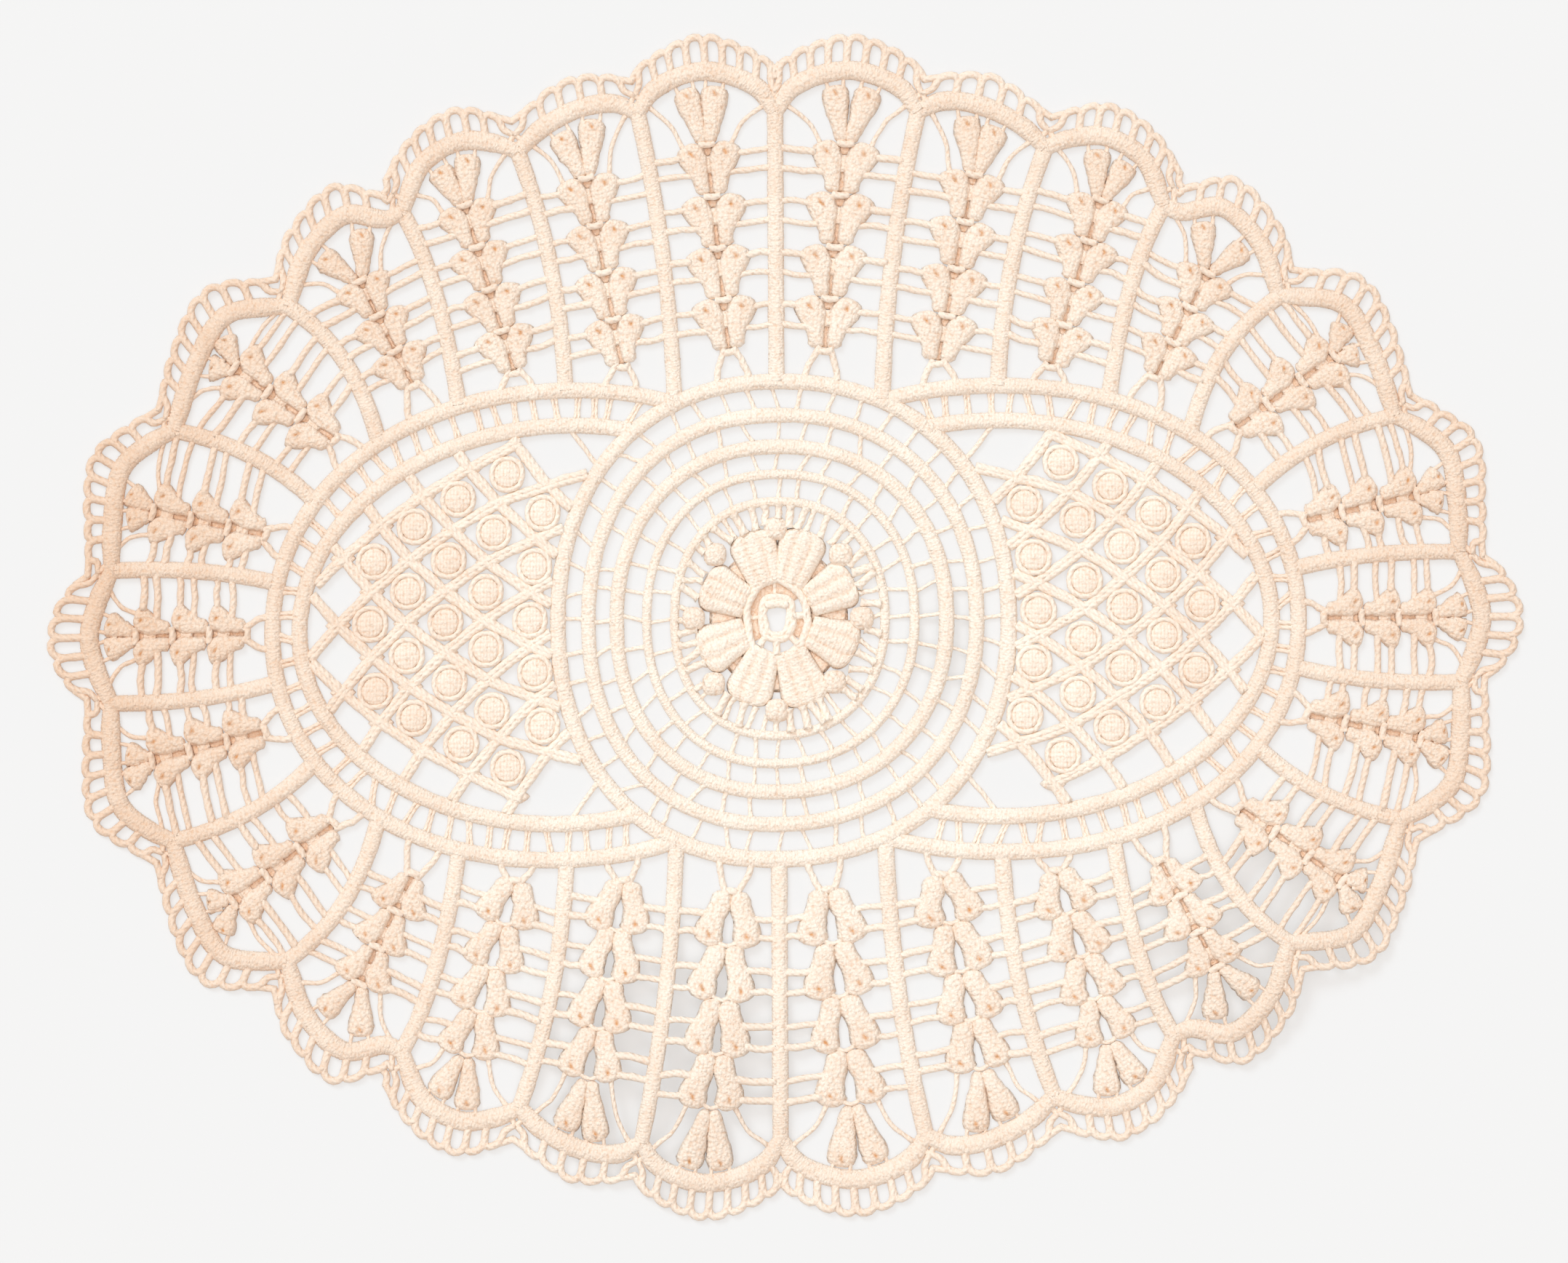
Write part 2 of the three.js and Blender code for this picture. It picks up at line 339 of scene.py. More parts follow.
def rounded_reach(angles: Array, power: float) -> Array:
    """How far a superellipse with half axes of 1 reaches in the directions of the angles, in radians."""
    return (np.abs(np.cos(angles)) ** power + np.abs(np.sin(angles)) ** power) ** (-1 / power)


@dataclass(frozen=True)
class Oval:
    """A superellipse about (cx, 0)."""

    rx: float
    ry: float
    power: float
    cx: float = 0.0

    def at(self, angles: Array) -> Array:
        """Points of the oval in the directions of the angles, in radians."""
        reach = rounded_reach(angles, self.power)
        return np.column_stack([self.cx + self.rx * reach * np.cos(angles), self.ry * reach * np.sin(angles)])

    def wider(self, amount: float) -> "Oval":
        """The same oval with its half axes changed by an amount."""
        return Oval(self.rx + amount, self.ry + amount, self.power, self.cx)

    def holds(self, points: Array) -> Array:
        """Which points lie inside the oval."""
        x, y = points[:, 0], points[:, 1]
        return (np.abs(x - self.cx) / self.rx) ** self.power + (np.abs(y) / self.ry) ** self.power < 1


def smooth(points: Sequence[Pair] | Array, steps: int) -> Array:
    """A centripetal Catmull-Rom curve through points.

    Args:
        points: The points, in order.
        steps: How many samples lie between the first and the last point.

    Returns:
        Rows of x and y.
    """
    p = np.asarray(points, float)
    p = np.vstack([2 * p[0] - p[1], p, 2 * p[-1] - p[-2]])
    knots = np.concatenate([[0], np.cumsum(np.linalg.norm(np.diff(p, axis=0), axis=1) ** 0.5)])
    wanted = np.linspace(1, len(p) - 2, steps + 1)
    rows = []
    for value in wanted:
        i = min(int(value), len(p) - 3)
        t = knots[i] + (value - i) * (knots[i + 1] - knots[i])
        t0, t1, t2, t3 = knots[i - 1 : i + 3]
        p0, p1, p2, p3 = p[i - 1 : i + 3]
        a1 = (t1 - t) / (t1 - t0) * p0 + (t - t0) / (t1 - t0) * p1
        a2 = (t2 - t) / (t2 - t1) * p1 + (t - t1) / (t2 - t1) * p2
        a3 = (t3 - t) / (t3 - t2) * p2 + (t - t2) / (t3 - t2) * p3
        b1 = (t2 - t) / (t2 - t0) * a1 + (t - t0) / (t2 - t0) * a2
        b2 = (t3 - t) / (t3 - t1) * a2 + (t - t1) / (t3 - t1) * a3
        rows.append((t2 - t) / (t2 - t1) * b1 + (t - t1) / (t2 - t1) * b2)
    return np.array(rows)


def lengths(path: Array, closed: bool = False) -> Array:
    """The distance along a path to each of its points, and to its start again where it is closed."""
    whole = np.vstack([path, path[:1]]) if closed else path
    return np.concatenate([[0], np.cumsum(np.linalg.norm(np.diff(whole[:, :2], axis=0), axis=1))])


def even(path: Array, step: float, closed: bool = False) -> Array:
    """Walks a path again in equal steps.

    Args:
        path: The points of the path.
        step: The wanted step.
        closed: Whether the path ends where it starts.

    Returns:
        The new points; on a closed path the start isn't repeated, and their number is even.
    """
    whole = np.vstack([path, path[:1]]) if closed else path
    along = lengths(whole)
    count = max(2, round(along[-1] / step))
    if closed:
        count += count % 2
    wanted = np.linspace(0, along[-1], count + 1)
    if closed:
        wanted = wanted[:-1]
    return np.column_stack([np.interp(wanted, along, whole[:, i]) for i in range(whole.shape[1])])


def directions(path: Array, closed: bool = False) -> Array:
    """The unit direction of a path at each of its points."""
    flat = path[:, :2]
    step = np.roll(flat, -1, 0) - np.roll(flat, 1, 0) if closed else np.gradient(flat, axis=0)
    return step / np.maximum(np.linalg.norm(step, axis=1, keepdims=True), 1e-9)


def right_of(direction: Array) -> Array:
    """The unit direction to the right of each direction."""
    return np.column_stack([direction[:, 1], -direction[:, 0]])


def unit(vector: Array) -> Array:
    """A vector of the same direction and a length of 1."""
    return vector / np.linalg.norm(vector)


def turned(vector: Array, degrees: float) -> Array:
    """A flat vector turned anticlockwise."""
    c, s = math.cos(math.radians(degrees)), math.sin(math.radians(degrees))
    return np.array([c * vector[0] - s * vector[1], s * vector[0] + c * vector[1]])


def drift(rng: np.random.Generator, count: int, every: int, size: float) -> Array:
    """A slow random wander: a value about 0 for each of count places.

    Args:
        rng: The source of randomness.
        count: How many values.
        every: A new random value comes after this many places.
        size: The spread of the values.

    Returns:
        The values.
    """
    knots = rng.normal(0, size, count // every + 3)
    return np.interp(np.arange(count) / every, np.arange(len(knots)), knots)


# ---- Yarn work -----------------------------------------------------------------------------------

# Sections of the work, across and up, as shares of its width and its height.
TAPE_SECTION = np.array([(-0.46, 0), (0.46, 0), (0.51, 0.42), (0.36, 0.93), (-0.36, 0.93), (-0.51, 0.42)])


def round_section(sides: int) -> Array:
    """A rounded section with so many sides, flat underneath."""
    turns = np.linspace(0, math.pi, sides - 2)
    return np.vstack([[(-0.42, 0), (0.42, 0)], np.column_stack([0.5 * np.cos(turns), 0.42 + 0.5 * np.sin(turns)])])


CORD_SECTION = round_section(6)
COIL_SECTION = round_section(8)
NO_POINTS = np.empty((0, 3))  # stands for the points added last


def quads_between(rings: int, columns: int, closed: bool = False) -> tuple[Array, Array, Array]:
    """The quads that join rings of points.

    Args:
        rings: How many rings there are.
        columns: How many points each ring has.
        closed: Whether the last ring joins the first.

    Returns:
        The ring and the column of each quad, and its four points.
    """
    rows = np.arange(rings if closed else rings - 1)
    i, j = (a.ravel() for a in np.meshgrid(rows, np.arange(columns), indexing="ij"))
    i1, j1 = (i + 1) % rings, (j + 1) % columns
    return i, j, np.column_stack([i * columns + j, i1 * columns + j, i1 * columns + j1, i * columns + j1])


def end_caps(rings: int, columns: int) -> Array:
    """The two polygons that close the first and the last ring of points."""
    return np.array([np.arange(columns), (rings - 1) * columns + np.arange(columns)[::-1]])


@dataclass
class Work:
    """A growing piece of yarn work: closed strands and shapes that become one mesh."""

    name: str
    rng: np.random.Generator
    points: list[Array] = field(default_factory=list)
    maps: list[Array] = field(default_factory=list)
    depth_shades: list[Array] = field(default_factory=list)
    corners: list[Array] = field(default_factory=list)
    sizes: list[Array] = field(default_factory=list)
    stitches: list[Array] = field(default_factory=list)
    count: int = 0

    def add(self, points: Array, polygons: Array, uv: Array, stitch: Stitch, depth_shade: Array | float = 0.0) -> None:
        """Adds polygons of one size.

        Args:
            points: Rows of x, y and height in the pattern, or NO_POINTS to use those added last.
            polygons: For each polygon, its points, counted within the last points added.
            uv: For each corner of each polygon, its place along and across the work.
            stitch: How the work is made.
            depth_shade: How much painted shade each point gets for lying deep in the work, from 0 to 1.
        """
        if len(points):
            self.points.append(points)
            self.depth_shades.append(np.broadcast_to(np.asarray(depth_shade, float).ravel(), len(points)))
            self.count += len(points)
        start = self.count - len(self.points[-1])
        self.corners.append((polygons + start).ravel())
        self.sizes.append(np.full(len(polygons), polygons.shape[1]))
        self.maps.append(uv.reshape(-1, 2))
        self.stitches.append(np.full(len(polygons), stitch.value))

    def strand(
        self,
        path: Array,
        width: float | Array,
        height: float | Array,
        section: Array,
        stitch: Stitch,
        base: float | Array = 0.0,
        closed: bool = False,
        sunk_shade: float = 0.0,
    ) -> None:
        """Works a strand along a path.

        Args:
            path: Rows of x and y.
            width: Its width, once or at each point.
            height: Its height, once or at each point.
            section: Its section, as shares of its width and height.
            stitch: How it is made.
            base: How much higher than that its top lies, once or at each point.
            closed: Whether it ends where it starts.
            sunk_shade: How much painted shade it gets all over, for lying deep in the work, from 0 to 1.
        """
        n, k = len(path), len(section)
        side = right_of(directions(path, closed))
        width, height, base = (np.broadcast_to(np.asarray(v, float), n) for v in (width, height, base))
        across = section[None, :, 0] * width[:, None]
        flat = path[:, None, :2] + side[:, None, :] * across[:, :, None]
        up = np.where(section[None, :, 1] > 0, base[:, None] + section[None, :, 1] * height[:, None], 0.0)
        points = np.concatenate([flat, up[:, :, None]], 2).reshape(-1, 3)
        i, j, quads = quads_between(n, k, closed)
        along = lengths(path, closed) + self.rng.uniform(0, 9)
        ring = section * [float(np.mean(width)), float(np.mean(height))]
        around = np.concatenate([[0], np.cumsum(np.linalg.norm(np.roll(ring, -1, 0) - ring, axis=1))])
        corners = ((0, 0), (1, 0), (1, 1), (0, 1))
        uv = np.stack([np.column_stack([along[i + ahead], around[j + beside]]) for ahead, beside in corners], 1)
        # Painted shade on the lower sides, where the strand meets the table, and all over where it lies sunk.
        depth_shade = np.tile(sunk_shade + 0.08 * np.clip(1 - section[:, 1] / 0.6, 0, 1), n)
        self.add(points, quads, uv, stitch, depth_shade)
        if not closed:
            self.add(NO_POINTS, end_caps(n, k), np.stack([ring, ring[::-1]]), stitch)

    def shell(self, rings: Array, stitch: Stitch, uv: Array, depth_shade: Array | float, flip: bool = True) -> None:
        """Joins rings of points to a closed shape, with a polygon over the first and the last ring.

        Args:
            rings: The points of each ring, all of the same number.
            stitch: How it is made.
            uv: The place of each point along and across the work.
            depth_shade: How much painted shade each point gets for lying deep in the work, from 0 to 1.
            flip: Whether the faces have to be turned round, as they do where the rings run clockwise.
        """
        n, k = rings.shape[:2]
        turn = -1 if flip else 1
        quads, caps = quads_between(n, k)[2][:, ::turn], end_caps(n, k)[:, ::turn]
        flat = uv.reshape(-1, 2)
        self.add(rings.reshape(-1, 3), quads, flat[quads], stitch, depth_shade)
        self.add(NO_POINTS, caps, flat[caps], stitch)

    def finish(self, materials: Sequence[bpy.types.Material]) -> bpy.types.Object:
        """Lays the work out and makes it an object.

        Args:
            materials: The material of each stitch, in the order of Stitch.

        Returns:
            The object, at the origin with its place in its mesh.
        """
        pattern = np.vstack(self.points)
        pattern[:, 2] = np.maximum(pattern[:, 2], 0.0)
        corners, sizes = np.concatenate(self.corners), np.concatenate(self.sizes)
        mesh = bpy.data.meshes.new(self.name)
        mesh.vertices.add(len(pattern))
        mesh.vertices.foreach_set("co", LAYOUT.laid(pattern).astype(np.float32).ravel())
        mesh.loops.add(len(corners))
        mesh.loops.foreach_set("vertex_index", corners.astype(np.int32))
        mesh.polygons.add(len(sizes))
        mesh.polygons.foreach_set("loop_start", (np.cumsum(sizes) - sizes).astype(np.int32))
        mesh.polygons.foreach_set("loop_total", sizes.astype(np.int32))
        for material in materials:
            mesh.materials.append(material)
        mesh.polygons.foreach_set("material_index", np.concatenate(self.stitches).astype(np.int32))
        mesh.polygons.foreach_set("use_smooth", np.ones(len(sizes), bool))
        layer = mesh.uv_layers.new(name="yarn")
        layer.uv.foreach_set("vector", np.vstack(self.maps).astype(np.float32).ravel())
        tone = mesh.attributes.new("tone", "FLOAT", "POINT")
        tone.data.foreach_set("value", LAYOUT.tone(pattern).astype(np.float32))
        depth_shade = mesh.attributes.new("depth_shade", "FLOAT", "POINT")
        depth_shade.data.foreach_set("value", np.concatenate(self.depth_shades).astype(np.float32))
        mesh.update(calc_edges=True)
        mesh.validate()
        piece = bpy.data.objects.new(self.name, mesh)
        bpy.context.scene.collection.objects.link(piece)
        triangles = int((sizes - 2).sum())
        log.info("%s: %d triangles", self.name, triangles)
        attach(piece, "root")
        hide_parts("placemat")
        return piece

    def tape(
        self,
        path: Array,
        width: float,
        step: float,
        closed: bool = False,
        height: float = 2.2,
        rib: float = 0.035,
        ends: float = 1.0,
    ) -> None:
        """Works a ribbed tape, every second step drawn in, its edges a little ragged.

        Args:
            path: Its centre line.
            width: Its width.
            step: Half a rib.
            closed: Whether it ends where it starts.
            height: Its thickness.
            rib: How deep its ribs are, as a share of its thickness.
            ends: How wide it is at its ends, as a share.
        """
        path = even(path, step, closed)
        n = len(path)
        every = np.where(np.arange(n) % 2, 0.5, -0.5)
        ragged = self.rng.normal(0, 0.014, n)
        wide = width * (1 + 0.5 * rib * every + ragged + drift(self.rng, n, 9, 0.022))
        from_end = np.minimum(np.arange(n), np.arange(n)[::-1]) * step
        wide = wide * (1 - (1 - ends) * np.clip(1 - from_end / 8, 0, 1))
        tall = height * (1 + rib * every + self.rng.normal(0, 0.02, n) + drift(self.rng, n, 7, 0.025))
        self.strand(path, wide, tall, TAPE_SECTION, Stitch.RIBBED, closed=closed)

    def cord(
        self,
        points: Sequence[Pair] | Array,
        width: float,
        base: float = 0.0,
        steps: int = 8,
        wander: float = 0.0,
        ends: float = 1.0,
    ) -> None:
        """Works a plied cord through points, thicker where it is joined on.

        Args:
            points: The points it runs through.
            width: Its width.
            base: How much its top is raised.
            steps: How many pieces it is made in.
            wander: How far it strays sideways.
            ends: How wide it is at its ends, as a share.
        """
        whole = lengths(smooth(points, 24))[-1]
        path = even(smooth(points, max(steps, 2 * (len(points) - 1))), whole / steps)
        n = len(path)
        if wander:
            inside = np.sin(np.linspace(0, math.pi, n)) ** 0.5
            knots = np.arange(0, n + 2, 2)
            stray = np.interp(np.arange(n), knots, self.rng.normal(0, wander, len(knots)))
            path = path + right_of(directions(path)) * (stray * inside)[:, None]
        share = np.abs(np.linspace(-1, 1, n)) ** 6
        wide = width * (1 + (ends - 1) * share + self.rng.normal(0, 0.05, n))
        self.strand(path, wide, wide * 0.95, CORD_SECTION, Stitch.TWISTED, base)


# ---- The pattern ---------------------------------------------------------------------------------

RING_POWER = 2.2
# For each ring of the medallion, from the rim inwards: its centre line, its width and its thickness.
RING_TAPES: tuple[tuple[Oval, float, float], ...] = (
    (Oval(67.0, 71.0, RING_POWER), 4.8, 2.2),
    (Oval(57.7, 60.8, RING_POWER), 4.4, 2.2),
    (Oval(49.0, 51.3, RING_POWER), 4.4, 2.2),
    (Oval(39.8, 43.0, RING_POWER), 2.8, 1.9),
    (Oval(31.3, 34.8, RING_POWER), 2.7, 1.9),
)
RIM = RING_TAPES[0][0]
OVAL_OUTER = Oval(87.5, 69.5, 2.12, 65.0)
OVAL_INNER = Oval(79.5, 59.0, 2.0, 65.0)
TAPE = 4.8  # the width of the ovals' and the legs' tapes
ARCH_TAPE = 5.7
RIB_STEP = 0.38  # half a rib on the ovals and rings
LONG_RIB_STEP = 0.44  # the same on legs and arches
TUCKED = 0.7  # how far a cord's end runs in under the tape that it meets
QUARTERS: tuple[Pair, ...] = ((1, 1), (-1, 1), (-1, -1), (1, -1))
HANDS = (1, -1)  # both sides of a line or a stem
SHORT_FAN = 3  # the pairs of leaves in a short fan; a long one has more


@dataclass(frozen=True)
class Leg:
    """A tape between two fans, and the notch of the edging above it."""

    foot: Pair
    bend: Pair
    crotch: Pair
    notch: Pair

    def line(self) -> Array:
        """The centre line of the leg: a parabola through its foot, bend and crotch."""
        foot, bend, crotch = (np.array(p, float) for p in (self.foot, self.bend, self.crotch))
        control = 2 * bend - (foot + crotch) / 2
        t = np.linspace(0, 1, 33)[:, None]
        return (1 - t) ** 2 * foot + 2 * t * (1 - t) * control + t**2 * crotch


@dataclass(frozen=True)
class Fan:
    """One fan: its arch, the reach of its loops and the leaf spray under it."""

    inner: Pair
    crown: Pair
    outer: Pair
    reach: float
    root: Pair
    fork: Pair
    pairs: int
    spread: float  # how far the two end leaves lean out, in degrees
    open: float = 0.0  # how much wider the slit between the leaves of a pair is


LEGS: tuple[Leg, ...] = (
    Leg((0, 71), (0, 110), (0, 152.5), (0, 163.5)),
    Leg((31, 65.5), (34.5, 110), (42, 152.5), (44, 162.5)),
    Leg((64.5, 69.5), (69, 107), (79, 141.5), (81, 151)),
    Leg((97, 66), (104, 100), (114, 124), (119, 134)),
    Leg((121, 55.5), (131, 79.5), (148, 96.5), (152, 105)),
    Leg((140.5, 39), (159, 52.5), (182, 60.5), (187, 67)),
    Leg((152.5, 15), (175, 18.8), (200.5, 19.5), (208, 18)),
)
FANS: tuple[Fan, ...] = (
    Fan((5.5, 160), (22, 165), (37, 159.5), 11.2, (14.2, 80), (20.8, 142.5), 4, 13),
    Fan((49, 155.5), (59.5, 154.4), (71.5, 148.5), 10.2, (47, 76), (58, 133), 4, 14),
    Fan((85.5, 144), (96.5, 144.8), (108, 138), 10.5, (80, 75), (95, 125.5), 4, 16),
    Fan((119, 122), (131, 123.4), (142.5, 112.5), 10.2, (110.5, 72), (126.5, 103.5), 3, 25),
    Fan((154, 96.5), (167, 94), (175.8, 79.5), 10.6, (134, 56.5), (164, 78.5), 3, 29, 0.2),
    Fan((189, 57), (197.5, 49.5), (200.3, 32), 10.4, (154.5, 29), (188, 36.5), 3, 24, 0.3),
)
END_FAN = Fan((204.7, 10), (207, 0), (204.7, -10), 13.0, (160, 0), (193, 0), 3, 18, 0.1)


def fans_all_round() -> Iterator[tuple[Fan, Leg, Leg, Pair]]:
    """Every fan of the mat.

    Yields:
        The fan, the legs before and after it, and the quarter's mirror.
    """
    for mirror in QUARTERS:
        for i, fan in enumerate(FANS):
            yield fan, LEGS[i], LEGS[i + 1], mirror
    last = LEGS[-1]
    below = Leg(*((x, -y) for x, y in (last.foot, last.bend, last.crotch, last.notch)))
    for sx in (1, -1):
        yield END_FAN, last, below, (sx, 1)


ARCH_STEPS = 40
SHOULDER_REACH = 0.8  # the loops' reach at the shoulders of an arch, as a share of the crown's


def arch_points(fan: Fan, before: Leg, after: Leg) -> Array:
    """The points that the tape over a fan runs through."""
    return np.array([before.crotch, fan.inner, fan.crown, fan.outer, after.crotch], float)


def arch_line(fan: Fan, before: Leg, after: Leg, mirror: Pair) -> Array:
    """The centre line of the tape over a fan."""
    return smooth(arch_points(fan, before, after) * mirror, ARCH_STEPS)


def edge_line(fan: Fan, before: Leg, after: Leg, mirror: Pair) -> Array:
    """The outer edge of the loops over a fan."""
    tape = arch_points(fan, before, after)
    tips = []
    for i, share in enumerate((SHOULDER_REACH, 1.0, SHOULDER_REACH)):
        along = unit(tape[i + 2] - tape[i])
        tips.append(tape[i + 1] + np.array([-along[1], along[0]]) * share * fan.reach)
    return smooth(np.array([before.notch, *tips, after.notch], float) * mirror, ARCH_STEPS)


def base_line() -> Array:
    """The centre lines of the tapes that the leaf sprays stand on: the medallion's rim and both outer ovals."""
    outer = OVAL_OUTER.at(np.radians(np.linspace(-120, 120, 721)))
    return np.vstack([RIM.at(np.linspace(0, 2 * math.pi, 721)), outer, outer * [-1, 1]])


@dataclass
class Medallion:
    """The round middle: ringed tapes held apart by brides, about a flower."""

    brides: tuple[int, ...] = (48, 40, 36, 32)  # how many lie between each two tapes, from the rim inwards
    bride_width: float = 1.25
    inner_brides: int = 48
    inner_width: float = 1.9
    inner_start: float = 0.9  # how far inside the innermost tape's centre line its brides start
    flower: Oval = Oval(24.5, 27.0, 2.1)  # where they end if no ball is in their way

    def build(self, work: Work) -> None:
        """Works the tapes and all brides."""
        angles = np.linspace(0, 2 * math.pi, 241)[:-1]
        for line, width, height in RING_TAPES:
            work.tape(line.at(angles), width, RIB_STEP, True, height)
        for outer, inner, count in zip(RING_TAPES[:-1], RING_TAPES[1:], self.brides, strict=True):
            outside = outer[0].wider(-outer[1] / 2 + TUCKED)
            inside = inner[0].wider(inner[1] / 2 - TUCKED)
            for angle in np.arange(count) * 2 * math.pi / count:
                a = angle + work.rng.normal(0, 0.018)
                b = angle + work.rng.normal(0, 0.018)
                ends = [outside.at(np.array([a]))[0], inside.at(np.array([b]))[0]]
                width = self.bride_width * work.rng.uniform(0.8, 1.15)
                work.cord(ends, width, steps=6, wander=0.15, ends=1.6)
        self.to_flower(work)

    def to_flower(self, work: Work) -> None:
        """Works the brides from the innermost tape to the flower, or to the ball that is in their way."""
        inner = RING_TAPES[-1][0].wider(-self.inner_start)
        for angle in np.arange(self.inner_brides) * 2 * math.pi / self.inner_brides:
            a = angle + work.rng.normal(0, 0.03)
            b = angle + work.rng.normal(0, 0.04)
            start, end = inner.at(np.array([a]))[0], self.flower.at(np.array([b]))[0]
            way = unit(end - start)
            far = float(np.linalg.norm(end - start))
            for ball in BALLS:
                along = float((ball - start) @ way)
                off = float(np.linalg.norm(ball - start - way * along))
                if off < BALL:
                    far = min(far, along - math.sqrt(BALL**2 - off**2))
            if far > 1:
                width = self.inner_width * work.rng.uniform(0.7, 1.3)
                work.cord([start, start + way * far], width, steps=6, wander=0.15, ends=1.5)


BALL = 3.2  # how near the middle of a ball the innermost brides come
BALLS: tuple[Pair, ...] = (
    (24.6, -0.4),
    (18.6, 18.6),
    (-0.6, 26.6),
    (-18.8, 19.2),
    (-25.4, 0.3),
    (-19.4, -19.2),
    (-0.4, -27.4),
    (16.6, -19.2),
)
# For each ring of the hub its half axes, its squareness, its width and its height.
HUB_RINGS: tuple[tuple[Pair, float, float, float], ...] = (
    ((8.9, 11.5), 2.0, 2.4, 2.7),
    ((4.7, 6.2), 3.0, 2.2, 2.3),
    ((3.6, 5.1), 2.6, 1.8, 2.1),
)


@dataclass
class Flower:
    """Eight ribbed petals about a hub, with a ball between the tips of each two."""

    petals: tuple[tuple[float, float, float], ...] = (
        (27, 25.0, 15.0),
        (71.5, 27.4, 14.6),
        (108.5, 27.2, 14.6),
        (154, 25.0, 15.0),
        (204, 25.8, 15.4),
        (248, 27.2, 14.6),
        (290, 27.6, 15.0),
        (337, 25.0, 15.4),
    )  # for each petal its direction in degrees, its reach and its width
    petal_from: float = 10.0
    narrow: float = 10.0  # how wide a petal is where it starts
    round_from: float = 0.74  # where its round end starts, as a share of its length
    blunt: float = 1.6  # half the width that it keeps at its very end
    brim: float = 0.5  # how high its edge stands, and how high its underside
    under: float = 0.1
    shade_round: Pair = (9.5, 20.5)  # a flat low round under the petals, coloured with painted shade so that the gaps between them show warm
    # The same painted-shade ground in the hub: the half axes of its middle line, where it starts and stops in
    # degrees, and its width.
    hub_shade_arcs: tuple[tuple[Pair, float, float, float], ...] = (
        ((6.9, 9.1), 35, 222, 3.8),
        ((6.9, 9.1), -38, 2, 3.8),
    )
    shade_ground_height: float = 0.5
    hub_x: float = -0.4
    spokes: tuple[Pair, ...] = ((4, 2.2), (97, 1.2), (178, 1.2), (228, 2.0), (268, 2.2), (314, 2.0))
    spoke_from: Pair = (4.6, 6.0)  # the half axes of where the spokes of the hub start, and of where they end
    spoke_to: Pair = (8.4, 11.0)
    hub_bar: tuple[Pair, ...] = ((-3.8, 3.9), (-0.3, 4.3), (3.2, 3.8))
    hub_bar_width: float = 2.8
    crown: float = 3.0
    ball: float = 3.5
    ball_power: float = 3.0  # how square a ball is

    def petal(self, work: Work, angle: float, far: float, wide: float) -> None:
        """Works one petal: three lengthwise ribs with cross stitches, rounded at its outer end.

        Args:
            work: The work it is added to.
            angle: Its direction, in radians.
            far: How far from the middle it ends.
            wide: Its greatest width.
        """
        along = np.array([math.cos(angle), math.sin(angle)])
        across = np.array([along[1], -along[0]])
        rows, top_columns, under_columns = 42, 19, 5
        t = np.linspace(0, 1, rows)
        # Its outline, from the hub outwards: it widens over most of its length and then ends round.
        halves = [self.narrow / 2, self.narrow / 2 + 1.1, wide / 2, wide / 2 - 0.5]
        half = np.interp(t, [0, 0.35, 0.72, 1], halves)
        past = np.maximum(t - self.round_from, 0) / (1 - self.round_from)
        half = np.maximum(half * np.clip(1 - past**2.6, 0, 1) ** (1 / 2.4), self.blunt)
        reach = self.petal_from + (far - self.petal_from) * t
        s_top, s_under = np.linspace(-1, 1, top_columns), np.linspace(0.8, -0.8, under_columns)
        # Across the top: three rounded ribs with two grooves, falling away at both edges.
        rib = np.abs(np.cos(s_top * 1.5 * math.pi)) ** 0.7
        ribs = 0.72 + 0.28 * rib
        edge = (1 - np.abs(s_top) ** 3.4) ** 0.5
        dome = np.minimum(1, np.minimum((t + 0.02) / 0.1, (1.02 - t) / 0.12)) ** 0.5
        stitches = 1 + 0.035 * np.where(np.arange(rows) // 2 % 2, 1, -1)
        high = self.brim + (self.crown - self.brim) * (dome * stitches)[:, None] * (ribs * edge)[None, :]
        high += work.rng.normal(0, 0.05, high.shape)
        low = np.full((rows, under_columns), self.under)
        across_share = np.concatenate([s_top, s_under])
        flat = (
            along[None, None, :] * reach[:, None, None]
            + across[None, None, :] * (half[:, None] * across_share[None, :])[:, :, None]
        )
        rings = np.concatenate([flat, np.concatenate([high, low], 1)[:, :, None]], 2)
        uv = np.stack(np.broadcast_arrays(reach[:, None], across_share[None, :] * wide / 2), 2)
        # Painted shade in the grooves, at the edges and on the underside, which lie deeper in the work than the
        # ribs.
        groove = np.clip(1 - rib / 0.7, 0, 1) * 0.2 * (np.abs(s_top) < 0.8) + 0.12 * (np.abs(s_top) > 0.97)
        depth_shade = np.concatenate([groove, np.full(under_columns, 0.4)])
        work.shell(rings, Stitch.RIBBED, uv, np.tile(depth_shade, rows))

    def round_ball(self, work: Work, centre: Array) -> None:
        """Works one ball, a squared dome."""
        rows, columns = 7, 14
        up = np.linspace(-0.35, 1, rows) * math.pi / 2
        turns = np.arange(columns) * 2 * math.pi / columns
        squared = rounded_reach(turns, self.ball_power)
        radius = self.ball * np.maximum(np.cos(up), 0.06) ** 0.8
        flat = np.stack([np.cos(turns) * squared, np.sin(turns) * squared], 1)
        rings = np.concatenate(
            [
                centre + flat[None] * radius[:, None, None],
                np.broadcast_to((1.2 + 2.3 * np.sin(up))[:, None, None], (rows, columns, 1)),
            ],
            2,
        )
        rings[:, :, 2] += work.rng.normal(0, 0.08, (rows, columns))
        uv = rings[:, :, :2].copy()
        # Painted shade on the lower rings, most at the foot.
        depth_shade = np.repeat(np.interp(np.arange(rows), [0, 2, rows - 1], [0.55, 0.12, 0.0]), columns)
        work.shell(rings, Stitch.PEBBLED, uv, depth_shade)

